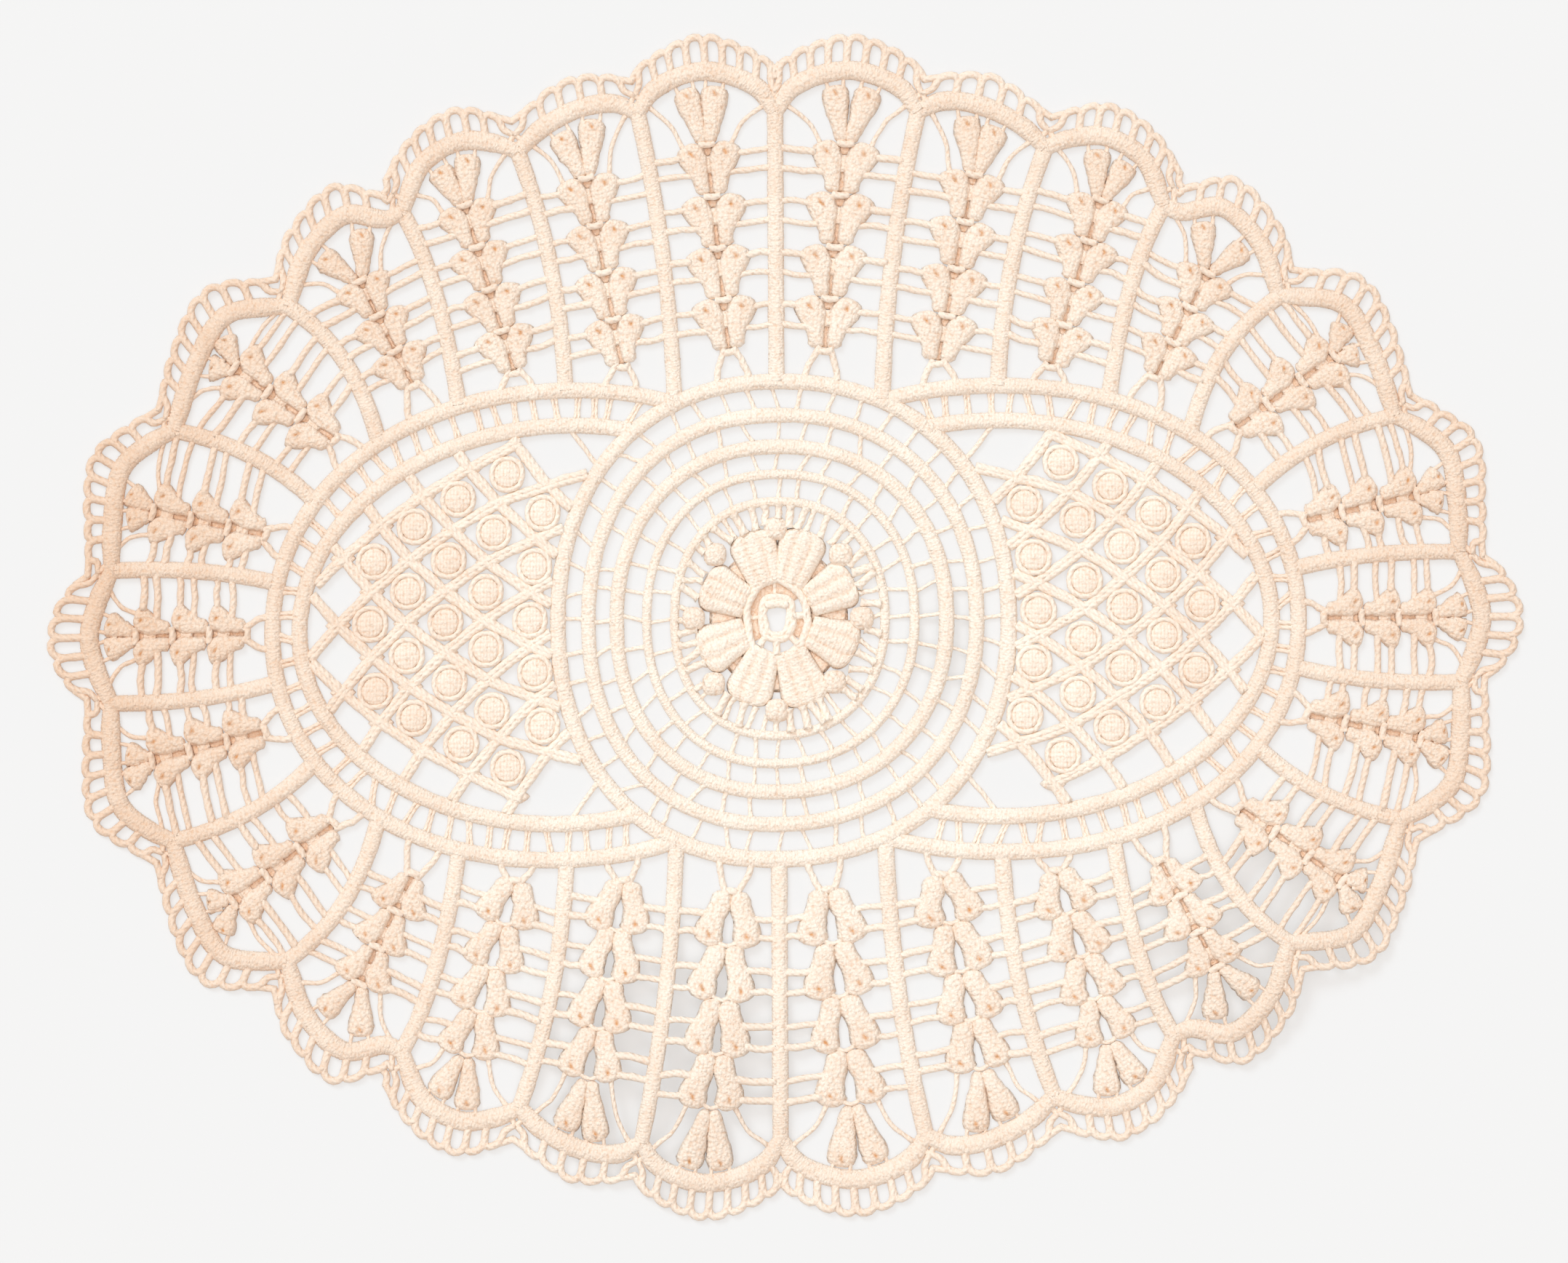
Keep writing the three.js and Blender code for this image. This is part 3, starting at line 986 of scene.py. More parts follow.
    def build(self, work: Work) -> None:
        """Works the painted-shade ground, the petals, the balls, the hub and its spokes."""
        turns = np.linspace(0, 2 * math.pi, 73)[:-1]
        # A flat low round under the petals, coloured with painted shade so that the gaps between them show warm.
        middle = (self.shade_round[0] + self.shade_round[1]) / 2
        band = self.shade_round[1] - self.shade_round[0]
        circle = even(np.column_stack([np.cos(turns), 1.1 * np.sin(turns)]) * middle, 1.5, True)
        work.strand(circle, band, self.shade_ground_height, TAPE_SECTION, Stitch.PEBBLED, closed=True, sunk_shade=0.24)
        for degrees, far, wide in self.petals:
            self.petal(work, math.radians(degrees), far, wide)
        for x, y in BALLS:
            self.round_ball(work, np.array([x, y]))
        # Low arcs in the hub, coloured with painted shade so that its slots show warm.
        for (rx, ry), start, stop, width in self.hub_shade_arcs:
            arc = np.radians(np.linspace(start, stop, 25))
            path = even(np.column_stack([rx * np.cos(arc) + self.hub_x, ry * np.sin(arc)]), 1.2)
            work.strand(path, width, self.shade_ground_height, TAPE_SECTION, Stitch.PEBBLED, sunk_shade=0.28)
        turns = np.linspace(0, 2 * math.pi, 97)[:-1]
        for (rx, ry), power, width, height in HUB_RINGS:
            reach = rounded_reach(turns, power)
            oval = np.column_stack([rx * np.cos(turns) * reach + self.hub_x, ry * np.sin(turns) * reach])
            ring = even(oval, 0.45, True)
            ring = ring + np.column_stack([drift(work.rng, len(ring), 7, 0.3) for _ in (0, 1)])
            work.strand(ring, width, height, COIL_SECTION, Stitch.TWISTED, closed=True)
        for degrees, width in self.spokes:
            out = np.array([math.cos(math.radians(degrees)), math.sin(math.radians(degrees))])
            work.cord([out * self.spoke_from, out * self.spoke_to], width, steps=6, wander=0.2, ends=1.5)
        work.cord(self.hub_bar, self.hub_bar_width, steps=6, wander=0.1, ends=1.1)


@dataclass
class DoubleOval:
    """Two tapes beside the medallion with a ladder of paired strands between them."""

    side: int
    sweep: float = 105.0  # how far round the ladder goes, in degrees from the far end
    pitch: Pair = (7.4, 6.0)  # from rung to rung, at the far end and along the sides
    strand_width: Pair = (1.4, 1.0)  # the same for a strand, and between the two of a rung
    apart: Pair = (1.5, 1.1)
    tape_gap: float = 0.2  # how far outside the medallion's centre line the tapes end, and the rungs
    rung_gap: float = 1.5
    waist: float = 0.8  # how far apart the two strands of a rung are halfway, as a share of their ends

    def tape_path(self, oval: Oval, cut: Oval) -> Array:
        """The part of an oval that lies outside the medallion.

        Args:
            oval: The tape's centre line.
            cut: The medallion's rim.

        Returns:
            The centre line, on this object's side.
        """
        angles = np.radians(np.linspace(-140, 140, 561))
        path = oval.at(angles)
        return path[~cut.holds(path)] * [self.side, 1]

    def build(self, work: Work) -> None:
        """Works both tapes and the ladder."""
        for oval in (OVAL_OUTER, OVAL_INNER):
            work.tape(self.tape_path(oval, RIM.wider(self.tape_gap)), TAPE, RIB_STEP)
        inside, outside = OVAL_INNER.wider(TAPE / 2 - TUCKED), OVAL_OUTER.wider(-TAPE / 2 + TUCKED)
        angles = np.radians(np.linspace(-self.sweep, self.sweep, 601))
        beside = np.abs(np.sin(angles))
        run = lengths((inside.at(angles) + outside.at(angles)) / 2)
        pitch = self.pitch[0] + (self.pitch[1] - self.pitch[0]) * beside
        rung = np.concatenate([[0.0], np.cumsum(np.diff(run) / pitch[1:])])
        for angle in np.interp(np.arange(0.5, rung[-1]), rung, angles):
            share = abs(math.sin(angle))
            apart = self.apart[0] + (self.apart[1] - self.apart[0]) * share
            width = self.strand_width[0] + (self.strand_width[1] - self.strand_width[0]) * share
            jitter = work.rng.normal(0, 0.01, 2)
            near, far = (
                oval.at(np.array([angle + shift]))[0] * [self.side, 1]
                for oval, shift in ((inside, jitter[0]), (outside, jitter[1]))
            )
            if RIM.wider(self.rung_gap).holds(np.abs([near, far])).any():
                continue
            across = right_of(unit(far - near)[None])[0] * apart / 2
            for hand in (-1, 1):
                middle = (near + far) / 2 + across * hand * self.waist
                points = [near + across * hand, middle, far + across * hand]
                work.cord(points, width, base=0.2, steps=5, wander=0.08, ends=1.4)


@dataclass
class SidePanel:
    """The lattice between the medallion and the inner oval, with ringed discs in its fields."""

    side: int
    columns: tuple[float, ...] = (61.5, 75.4, 89.3, 101.3, 112.8, 123.3, 133.0, 142.0)
    pitches: tuple[float, ...] = (14.5, 15.8, 17.4, 18.1, 18.8, 19.4, 19.8, 20.0)
    discs: tuple[int, ...] = (5, 6, 5, 4, 3)  # in each column from the second on
    bow: float = 0.0036
    # How far each panel's lattice lies above the long axis, and how that grows outwards.
    raised: dict[int, Pair] = field(default_factory=lambda: {1: (2.2, 0.035), -1: (1.6, 0.0)})
    cord_width: float = 2.25
    apart: float = 1.1  # between the two cords of a line
    line_gap: float = 3.1  # how near the lines come to the centre lines of the tapes, and how near the webs
    web_gap: float = 4.6
    corner_column: float = 1.97  # where a line starts that would run close beside the oval in the narrow corner
    corner_bar: tuple[Pair, Pair] = ((63.0, 57.8), (54.3, 46.3))
    beside: float = 6.5  # how near to the oval's tape a line lies beside it
    corner: float = 72.0  # how far out the narrow corner beside the medallion reaches
    tucked: float = 1.2  # how far the end of a line runs on, under the tape it meets
    web: Pair = (3.9, 2.3)  # how far the low web at a crossing reaches along and across
    web_power: float = 1.35  # between a diamond and a round
    disc: float = 5.45
    disc_tall: float = 1.02  # how much taller than wide a disc is
    disc_power: float = 2.25
    coil: Pair = (1.7, 2.5)  # the width and height of the cord about a disc
    # The woven middle of a disc: at rings counted from the outside, how far in from the disc's edge, and how high.
    middle: tuple[tuple[float, float, float], ...] = ((0, 1.4, 0.3), (1, 1.5, 1.8), (2, 2.1, 2.15), (7, 5.1, 2.6))

    def lattice(self, k: Array, q: Array) -> Array:
        """A point of the lattice, on the right side.

        Args:
            k: The column, counted outwards from 0.
            q: The row, in halves of the pitch.

        Returns:
            Rows of x and y.
        """
        at = np.arange(len(self.columns))
        slope_x = self.columns[-1] - self.columns[-2]
        x0 = np.interp(k, at, self.columns) + np.maximum(k - at[-1], 0) * slope_x
        y = q * np.interp(k, at, self.pitches) / 2
        lift, slope = self.raised[self.side]
        return np.column_stack([x0 - self.bow * y**2, y + lift + slope * (x0 - 75)])

    def clear(self, points: Array, gap: float) -> Array:
        """Which points lie between the medallion and the inner oval.

        Args:
            points: Rows of x and y.
            gap: How far they keep from the centre lines of both.

        Returns:
            True where a point does.
        """
        return ~RIM.wider(gap).holds(points) & OVAL_INNER.wider(-gap).holds(points)

    def line(self, c: int, hand: int) -> tuple[Array, float, float] | None:
        """One line of the lattice, clipped to its panel.

        Where it would run close beside the oval in the corner by the medallion, it starts at its crossing in the
        third column.

        Args:
            c: Which line.
            hand: 1 where it runs down outwards, or -1 where it runs up.

        Returns:
            Its path on the right side and the columns it starts and ends in, or None where it is too short.
        """
        k = np.linspace(-2.5, 9.0, 900)
        path = self.lattice(k, hand * (c - k))
        inside = np.concatenate([[0], self.clear(path, self.line_gap).astype(int), [0]])
        change = np.flatnonzero(np.diff(inside))
        runs = list(zip(change[::2], change[1::2], strict=True))
        if not runs:
            return None
        first, last = max(runs, key=lambda r: r[1] - r[0])
        if path[first, 0] < self.corner and not OVAL_INNER.wider(-self.beside).holds(path[first : first + 1])[0]:
            first = max(first, int(np.searchsorted(k, self.corner_column)))
        path, k = path[first:last], k[first:last]
        if len(path) < 3 or lengths(path)[-1] < 5:
            return None
        start, end = unit(path[0] - path[2]) * self.tucked, unit(path[-1] - path[-3]) * self.tucked
        return np.vstack([path[0] + start, path, path[-1] + end]), float(k[0]), float(k[-1])

    def double_line(self, work: Work, path: Array) -> None:
        """Works two thin cords side by side along a path."""
        path = even(path, 0.9)
        side = right_of(directions(path))
        n = len(path)
        for hand in (-1, 1):
            stray = drift(work.rng, n, 4, 0.12) + hand * self.apart / 2
            wide = self.cord_width * (1 + work.rng.normal(0, 0.05, n))
            work.strand(path + side * stray[:, None], wide, wide, CORD_SECTION, Stitch.TWISTED)

    def ringed_disc(self, work: Work, centre: Array) -> None:
        """Works one disc: a coil of cord about a raised woven middle."""
        turns = np.linspace(0, 2 * math.pi, 49)[:-1]
        width, height = self.coil
        radius = self.disc - width / 2
        squared = rounded_reach(turns, self.disc_power)
        circle = np.column_stack([np.cos(turns), np.sin(turns) * self.disc_tall]) * squared[:, None] * radius
        path = even(circle, 2 * math.pi * radius / 32, True) + centre
        path = path + work.rng.normal(0, 0.05, path.shape)
        work.strand(path, width, height, COIL_SECTION, Stitch.TWISTED, closed=True)
        rows, columns = 8, 24
        ring = np.arange(columns) * 2 * math.pi / columns
        at, inwards, up = (list(values) for values in zip(*self.middle, strict=True))
        reach = np.interp(np.arange(rows), at, [self.disc - far for far in inwards])
        flat = np.stack([np.cos(ring), np.sin(ring) * self.disc_tall], 1)[None] * reach[:, None, None]
        rough = work.rng.normal(0, 0.06, (rows, columns)) * (np.arange(rows)[:, None] > 0)
        high = np.interp(np.arange(rows), at, up)[:, None] + rough
        rings = np.concatenate([centre + flat, high[:, :, None]], 2)
        # Painted shade in the groove just inside the coil.
        depth_shade = np.repeat(np.where(np.arange(rows) == 1, 0.1, 0.0), columns)
        work.shell(rings, Stitch.WOVEN, rings[:, :, :2].copy(), depth_shade)

    def crossing(self, work: Work, centre: Array) -> None:
        """Works the low web that rounds off a crossing."""
        sides = 16
        turns = np.arange(sides) * 2 * math.pi / sides
        reach = rounded_reach(turns, self.web_power)
        ring = np.column_stack([np.cos(turns) * self.web[0], np.sin(turns) * self.web[1]]) * reach[:, None]
        rows = ((1.0, 0.0), (0.96, 0.9), (0.75, 1.5), (0.1, 1.7))
        rings = np.stack([np.column_stack([centre + ring * share, np.full(sides, z)]) for share, z in rows])
        # Painted shade at the foot of the web.
        depth_shade = np.repeat([0.2, 0.05, 0.0, 0.0], sides)
        work.shell(rings, Stitch.PEBBLED, rings[:, :, :2].copy(), depth_shade)

    def build(self, work: Work) -> None:
        """Works the lattice, the short bars to the oval and the discs."""
        spans: dict[tuple[int, int], Pair] = {}
        for c in (8, 6, 4, 2, 0, -2, -4):
            for hand in HANDS:
                line = self.line(c, hand)
                if line is not None:
                    self.double_line(work, line[0] * [self.side, 1])
                    spans[c, hand] = line[1:]
        for k, count in enumerate(self.discs, start=1):
            for j in range(count):
                q = -(count - 1) + 2 * j
                centre = self.lattice(np.array([k]), np.array([q]))[0] * [self.side, 1]
                self.ringed_disc(work, centre + work.rng.normal(0, 0.3, 2))
        for k in range(len(self.columns)):
            for q in range(-7, 8):
                place = self.lattice(np.array([k]), np.array([q]))
                first, second = (spans.get(line, (0.0, -1.0)) for line in ((k + q, 1), (k - q, -1)))
                if first[0] < k < first[1] and second[0] < k < second[1] and self.clear(place, self.web_gap)[0]:
                    self.crossing(work, place[0] * [self.side, 1])
        for sy in (1, -1):
            work.cord(np.array(self.corner_bar) * [self.side, sy], 1.5, wander=0.15, ends=1.3)


class LeafHold(Enum):
    """How the two leaves of a pair are held together."""

    KNOTTED = "a short thick knot between the heads, and a thin slit under it"
    SLOTTED = "a thin loop past the heads, and an open slot between them"


@dataclass(frozen=True)
class LeafCut:
    """The outline of a leaf: at heights, as shares of its length, how far out its two edges lie."""

    heights: tuple[float, ...]
    inner: tuple[float, ...]
    outer: tuple[float, ...]
    eye: float  # the height of its dimple


LEAF_CUTS: dict[LeafHold, LeafCut] = {
    LeafHold.KNOTTED: LeafCut(
        (0.07, 0.12, 0.3, 0.45, 0.6, 0.75, 0.86, 0.95, 1.02, 1.07),
        (1.2, 0.35, 0.4, 0.35, -0.1, -0.1, 0.8, 1.3, 2.1, 3.8),
        (3.8, 4.9, 5.4, 6.6, 8.5, 9.9, 10.2, 9.6, 8.1, 5.8),
        0.88,
    ),
    LeafHold.SLOTTED: LeafCut(
        (0.0, 0.07, 0.25, 0.4, 0.53, 0.66, 0.8, 0.91, 0.99, 1.04),
        (1.0, -0.3, -0.4, 0.1, 1.05, 1.35, 1.35, 1.2, 2.0, 3.8),
        (4.4, 5.7, 6.5, 7.7, 9.0, 10.0, 10.3, 9.7, 8.2, 6.0),
        0.84,
    ),
}
END_LEAF = LeafCut(
    (0, 0.06, 0.3, 0.5, 0.7, 0.83, 0.92, 0.97, 1.0),
    (-1.1, -1.9, -2.4, -3.1, -3.8, -4.0, -3.8, -2.9, -1.5),
    (1.3, 2.2, 2.9, 3.7, 4.4, 4.6, 4.3, 3.3, 1.7),
    0.84,
)


# Low strips between the leaves of a pair, coloured with painted shade so that the slit and the pit show warm: where
# each strip starts and ends, as shares of a step, its width, its height and how much painted shade it gets.
LOW_SHADED_STRIPS: dict[LeafHold, tuple[tuple[float, float, float, float, float], ...]] = {
    LeafHold.KNOTTED: ((0.08, 0.5, 2.4, 0.55, 0.3), (0.48, 0.8, 2.6, 1.3, 0.05)),
    LeafHold.SLOTTED: ((0.08, 0.38, 2.4, 0.55, 0.14),),
}
# What holds a pair together above its heads: how far out and how far up its points lie.
KNOT: tuple[Pair, ...] = ((2.6, 0.6), (0, 0.2), (-2.6, 0.6))
LOOP: tuple[Pair, ...] = ((3.4, -1.6), (1.6, -0.2), (0, 0.2), (-1.6, -0.2), (-3.4, -1.6))


def reach_along(line: Array, origin: Array, way: Array) -> float | None:
    """How far a straight line runs before it meets another line.

    Args:
        line: The points of the line that is met.
        origin: Where the straight line starts.
        way: Its unit direction.

    Returns:
        The distance, or None where it misses.
    """
    start, along = line[:-1] - origin, np.diff(line, axis=0)
    turn = way[0] * along[:, 1] - way[1] * along[:, 0]
    turn = np.where(np.abs(turn) < 1e-9, 1e-9, turn)
    share = (start[:, 0] * way[1] - start[:, 1] * way[0]) / turn
    distance = (start[:, 0] * along[:, 1] - start[:, 1] * along[:, 0]) / turn
    met = distance[(share >= -0.01) & (share <= 1.01) & (distance > 0)]
    return float(met.min()) if len(met) else None


@dataclass
class Spray:
    """The leaves under one arch, in pairs up a stem, with the bars that hold them to the legs."""

    fan: Fan
    before: Leg
    after: Leg
    mirror: Pair
    full_step: float = 15.7  # from pair to pair where the leaves have their full width
    leaf_height: float = 2.3
    leaf_under: float = 0.04  # how high a leaf's underside lies
    # How far before the arch's centre line an end leaf ends.
    leaf_room: dict[LeafHold, float] = field(default_factory=lambda: {LeafHold.SLOTTED: 3.3, LeafHold.KNOTTED: 4.1})
    bar_width: float = 2.1
    bar_rows: tuple[Pair, ...] = ((0.45, 4.6), (0.82, 8.4))  # how high on a step bars lie, and where they start
    bar_end: float = 1.2  # how far before a leg's centre line a bar ends
    # For both spikes on an end leaf: how far to the side of its tip and back from it they start, and their width.
    spikes: tuple[tuple[float, float, float], ...] = ((2.5, 2.4, 1.3), (-2.2, 4.6, 1.4))
    spike_end: float = 1.6
    # The legs under the root: at shares of the way down, how far from the middle they stand.
    root_curve: tuple[Pair, ...] = ((0.25, 3.0), (0.62, 4.3), (1.0, 4.8))
    rows: int = 13
    columns: int = 9

    def __post_init__(self) -> None:
        """Works out the stem: its root, its direction and the step between two pairs."""
        self.sign = np.array(self.mirror, float)
        self.root = np.array(self.fan.root, float) * self.sign
        self.fork = np.array(self.fan.fork, float) * self.sign
        self.step = float(np.linalg.norm(self.fork - self.root)) / self.fan.pairs
        self.scale = (self.step / self.full_step) ** 0.3
        self.along = unit(self.fork - self.root)
        self.side = np.array([self.along[1], -self.along[0]])
        slotted = self.mirror[1] < 0 and self.fan.pairs > SHORT_FAN
        self.hold = LeafHold.SLOTTED if slotted else LeafHold.KNOTTED
        self.arch = arch_line(self.fan, self.before, self.after, self.mirror)

    def leaf(self, work: Work, foot: Array, way: Array, length: float, cut: LeafCut, hand: int) -> None:
        """Works one leaf: a low dome of short stitches with a dimple in its head.

        Args:
            work: The work it is added to.
            foot: Where its heights are counted from.
            way: Its unit direction.
            length: What its heights are shares of.
            cut: Its outline.
            hand: Which side of the stem it stands on.
        """
        across = np.array([way[1], -way[0]]) * hand
        t = np.linspace(0, 1, self.rows)
        closer_at_ends = (1 - np.cos(np.linspace(0, math.pi, self.rows))) / 2
        heights = np.interp(0.35 * closer_at_ends + 0.65 * t, [0, 1], [cut.heights[0], cut.heights[-1]])
        size = self.scale * work.rng.uniform(0.96, 1.04)
        edges = np.array([np.interp(heights, cut.heights, edge) for edge in (cut.inner, cut.outer)]) * size
        edges += work.rng.normal(0, 0.12, edges.shape)
        # Each row runs over the dome from edge to edge, and back under it.
        middle, half = edges.mean(0), (edges[1] - edges[0]) / 2
        s_top, s_under = np.linspace(-1, 1, self.columns), np.array([0.75, 0.0, -0.75])
        out = middle[:, None] + half[:, None] * np.concatenate([s_top, s_under])[None, :]
        dome = 0.3 + 0.7 * (1 - np.abs(s_top) ** 2.4) ** 0.5
        caps = np.minimum(1, np.minimum((t + 0.03) / 0.14, (1.03 - t) / 0.14)) ** 0.5
        h = self.leaf_height * work.rng.uniform(0.94, 1.06)
        rough = work.rng.normal(0, 0.07, (self.rows, self.columns))
        high = h * (0.18 + 0.82 * caps[:, None]) * dome[None, :] + rough
        # Painted shade: some on the underside, which lies deep in the work, and most in the dimple.
        depth_shade = np.zeros((self.rows, self.columns + len(s_under)))
        depth_shade[:, self.columns :] = 0.35
        row, column = int(np.argmin(np.abs(heights - cut.eye))), self.columns // 2
        high[row, column] *= 0.62
        depth_shade[row - 1 : row + 2, column - 1 : column + 2] = 0.04
        depth_shade[row, column] = 0.85
        flat = foot + way * (heights * length)[:, None, None] + across * out[:, :, None]
        up = np.concatenate([high, np.full((self.rows, len(s_under)), self.leaf_under)], 1)
        uv = np.stack(np.broadcast_arrays((heights * length)[:, None], out), 2) + work.rng.uniform(0, 50)
        work.shell(np.concatenate([flat, up[:, :, None]], 2), Stitch.PEBBLED, uv, depth_shade, flip=hand > 0)

    def stem_and_slit_shade(self, work: Work) -> None:
        """Works what lies low between the leaves: the stem they share, and strips coloured with painted shade so
        that slits and pits show warm.
        """
        for pair in range(self.fan.pairs):
            for start, end, width, height, sunk_shade in LOW_SHADED_STRIPS[self.hold]:
                ends = [self.place((pair + share) * self.step) for share in (start, end)]
                line = even(np.array(ends), 1.3)
                work.strand(line, width + 2 * self.fan.open, height, CORD_SECTION, Stitch.PEBBLED, sunk_shade=sunk_shade)

    def place(self, height: float, out: float = 0.0, hand: int = 1) -> Array:
        """A point of the spray, from a height up its stem and a distance out to one side."""
        return self.root + self.along * height + self.side * out * hand

    def leaves(self, work: Work) -> None:
        """Works the leaf pairs and the two end leaves."""
        step, fan, cut = self.step, self.fan, LEAF_CUTS[self.hold]
        for pair in range(fan.pairs):
            for hand in HANDS:
                way = turned(self.along, work.rng.normal(0, 0.8))
                foot = self.place(pair * step + work.rng.normal(0, 0.15), fan.open, hand)
                self.leaf(work, foot, way, step, cut, hand)
        top = fan.pairs * step
        for hand in HANDS:
            out = turned(self.along, -(fan.spread + work.rng.normal(0, 1.5)) * hand)
            base = self.place(top + 0.8, 1.0, hand)
            room = reach_along(self.arch, base, out) or 18.0
            length = room - self.leaf_room[self.hold]
            end = base + out * length
            self.leaf(work, base, out, length, END_LEAF, hand)
            across = np.array([out[1], -out[0]]) * hand
            for shift, back, width in self.spikes:
                foot = end - out * back + across * shift
                way = unit(out + across * 0.08 * np.sign(shift))
                far = reach_along(self.arch, foot, way)
                if far is not None:
                    self.spike(work, foot, foot + way * (far - self.spike_end), width)

    def legs_by_hand(self) -> dict[int, tuple[Leg, Pair]]:
        """The leg and the arch's shoulder on each side of the stem."""
        flipped = self.mirror[0] * self.mirror[1] < 0
        before, after = (self.before, self.fan.inner), (self.after, self.fan.outer)
        return {1: before, -1: after} if flipped else {1: after, -1: before}

    def bars(self, work: Work) -> None:
        """Works the bars to the legs and the knots on the stem."""
        step, sides = self.step, self.legs_by_hand()
        for pair in range(self.fan.pairs):
            for hand in HANDS:
                leg, shoulder = sides[hand]
                line = np.vstack([leg.line(), [shoulder]]) * self.sign
                for share, out in self.bar_rows:
                    height = (pair + share) * step
                    far = reach_along(line, self.place(height), self.side * hand)
                    near = out * self.scale
                    if far is None or far < near + self.bar_end:
                        continue
                    points = [
                        self.place(height, near, hand),
                        self.place(height + work.rng.normal(0, 0.35), (near + far) / 2, hand),
                        self.place(height + work.rng.normal(0, 0.25), far - self.bar_end, hand),
                    ]
                    work.cord(points, self.bar_width * work.rng.uniform(0.85, 1.1), wander=0.12, ends=1.1)
        for pair in range(1, self.fan.pairs + 1):
            height = pair * step
            if self.hold is LeafHold.SLOTTED:
                loop = [self.place(height + up, out) for out, up in LOOP]
                work.cord(loop, 1.3, base=0.3, steps=10, wander=0.08, ends=1.2)
            else:
                knot = [self.place(height + up, out) for out, up in KNOT]
                work.cord(knot, 2.1, base=0.4, wander=0.08)
                # A low strip under the knot, coloured with painted shade so that the pit shows warm.
                pit_shade = np.array([self.place(height - 1.7, out) for out in (2.4, -2.4)])
                work.strand(even(pit_shade, 1.2), 2.6, 0.6, CORD_SECTION, Stitch.PEBBLED, sunk_shade=0.34)

    def shoulders(self, work: Work) -> None:
        """Works the slanting bars from the topmost leaves to the arch."""
        top, sides = self.fan.pairs * self.step, self.legs_by_hand()
        for hand in HANDS:
            leg, shoulder = sides[hand]
            start = self.place(top - 0.5, 7.2 * self.scale, hand)
            end = (np.array(leg.crotch) * 0.6 + np.array(shoulder) * 0.4) * self.sign
            end = end + unit(self.fork - end) * 1.8
            middle = (start + end) / 2 + self.side * hand * -1.2 + self.along * 1.0
            work.cord([start, middle, end], 1.35, steps=10, wander=0.12, ends=1.3)

    def spike(self, work: Work, root: Array, tip: Array, width: float) -> None:
        """Works one tapered stitch from a leaf to the arch."""
        middle = (root + tip) / 2 + work.rng.normal(0, 0.15, 2)
        path = even(np.array([root, middle, tip]), np.linalg.norm(tip - root) / 5)
        wide = width * np.linspace(1.15, 0.7, len(path))
        work.strand(path, wide, wide, CORD_SECTION, Stitch.TWISTED, 0.3)

    def root_legs(self, work: Work, base: Array) -> None:
        """Works the two curved legs that stand on the base tape.

        Args:
            work: The work they are added to.
            base: The centre line of the base tape.
        """
        gaps = np.linalg.norm(base - self.root, axis=1)
        foot = base[int(np.argmin(gaps))]
        down = unit(foot - self.root)
        across = np.array([-down[1], down[0]])
        reach = float(gaps.min()) - 1.4
        for hand in HANDS:
            points = [self.root + self.along * 1.4 + across * hand * 1.4]
            points += [self.root + down * reach * share + across * hand * out for share, out in self.root_curve]
            work.cord(points, 2.0, steps=10, wander=0.1, ends=1.2)
        work.cord([self.root + across * 2.0, self.root - across * 2.0], 2.2, base=0.2, steps=4, ends=0.8)


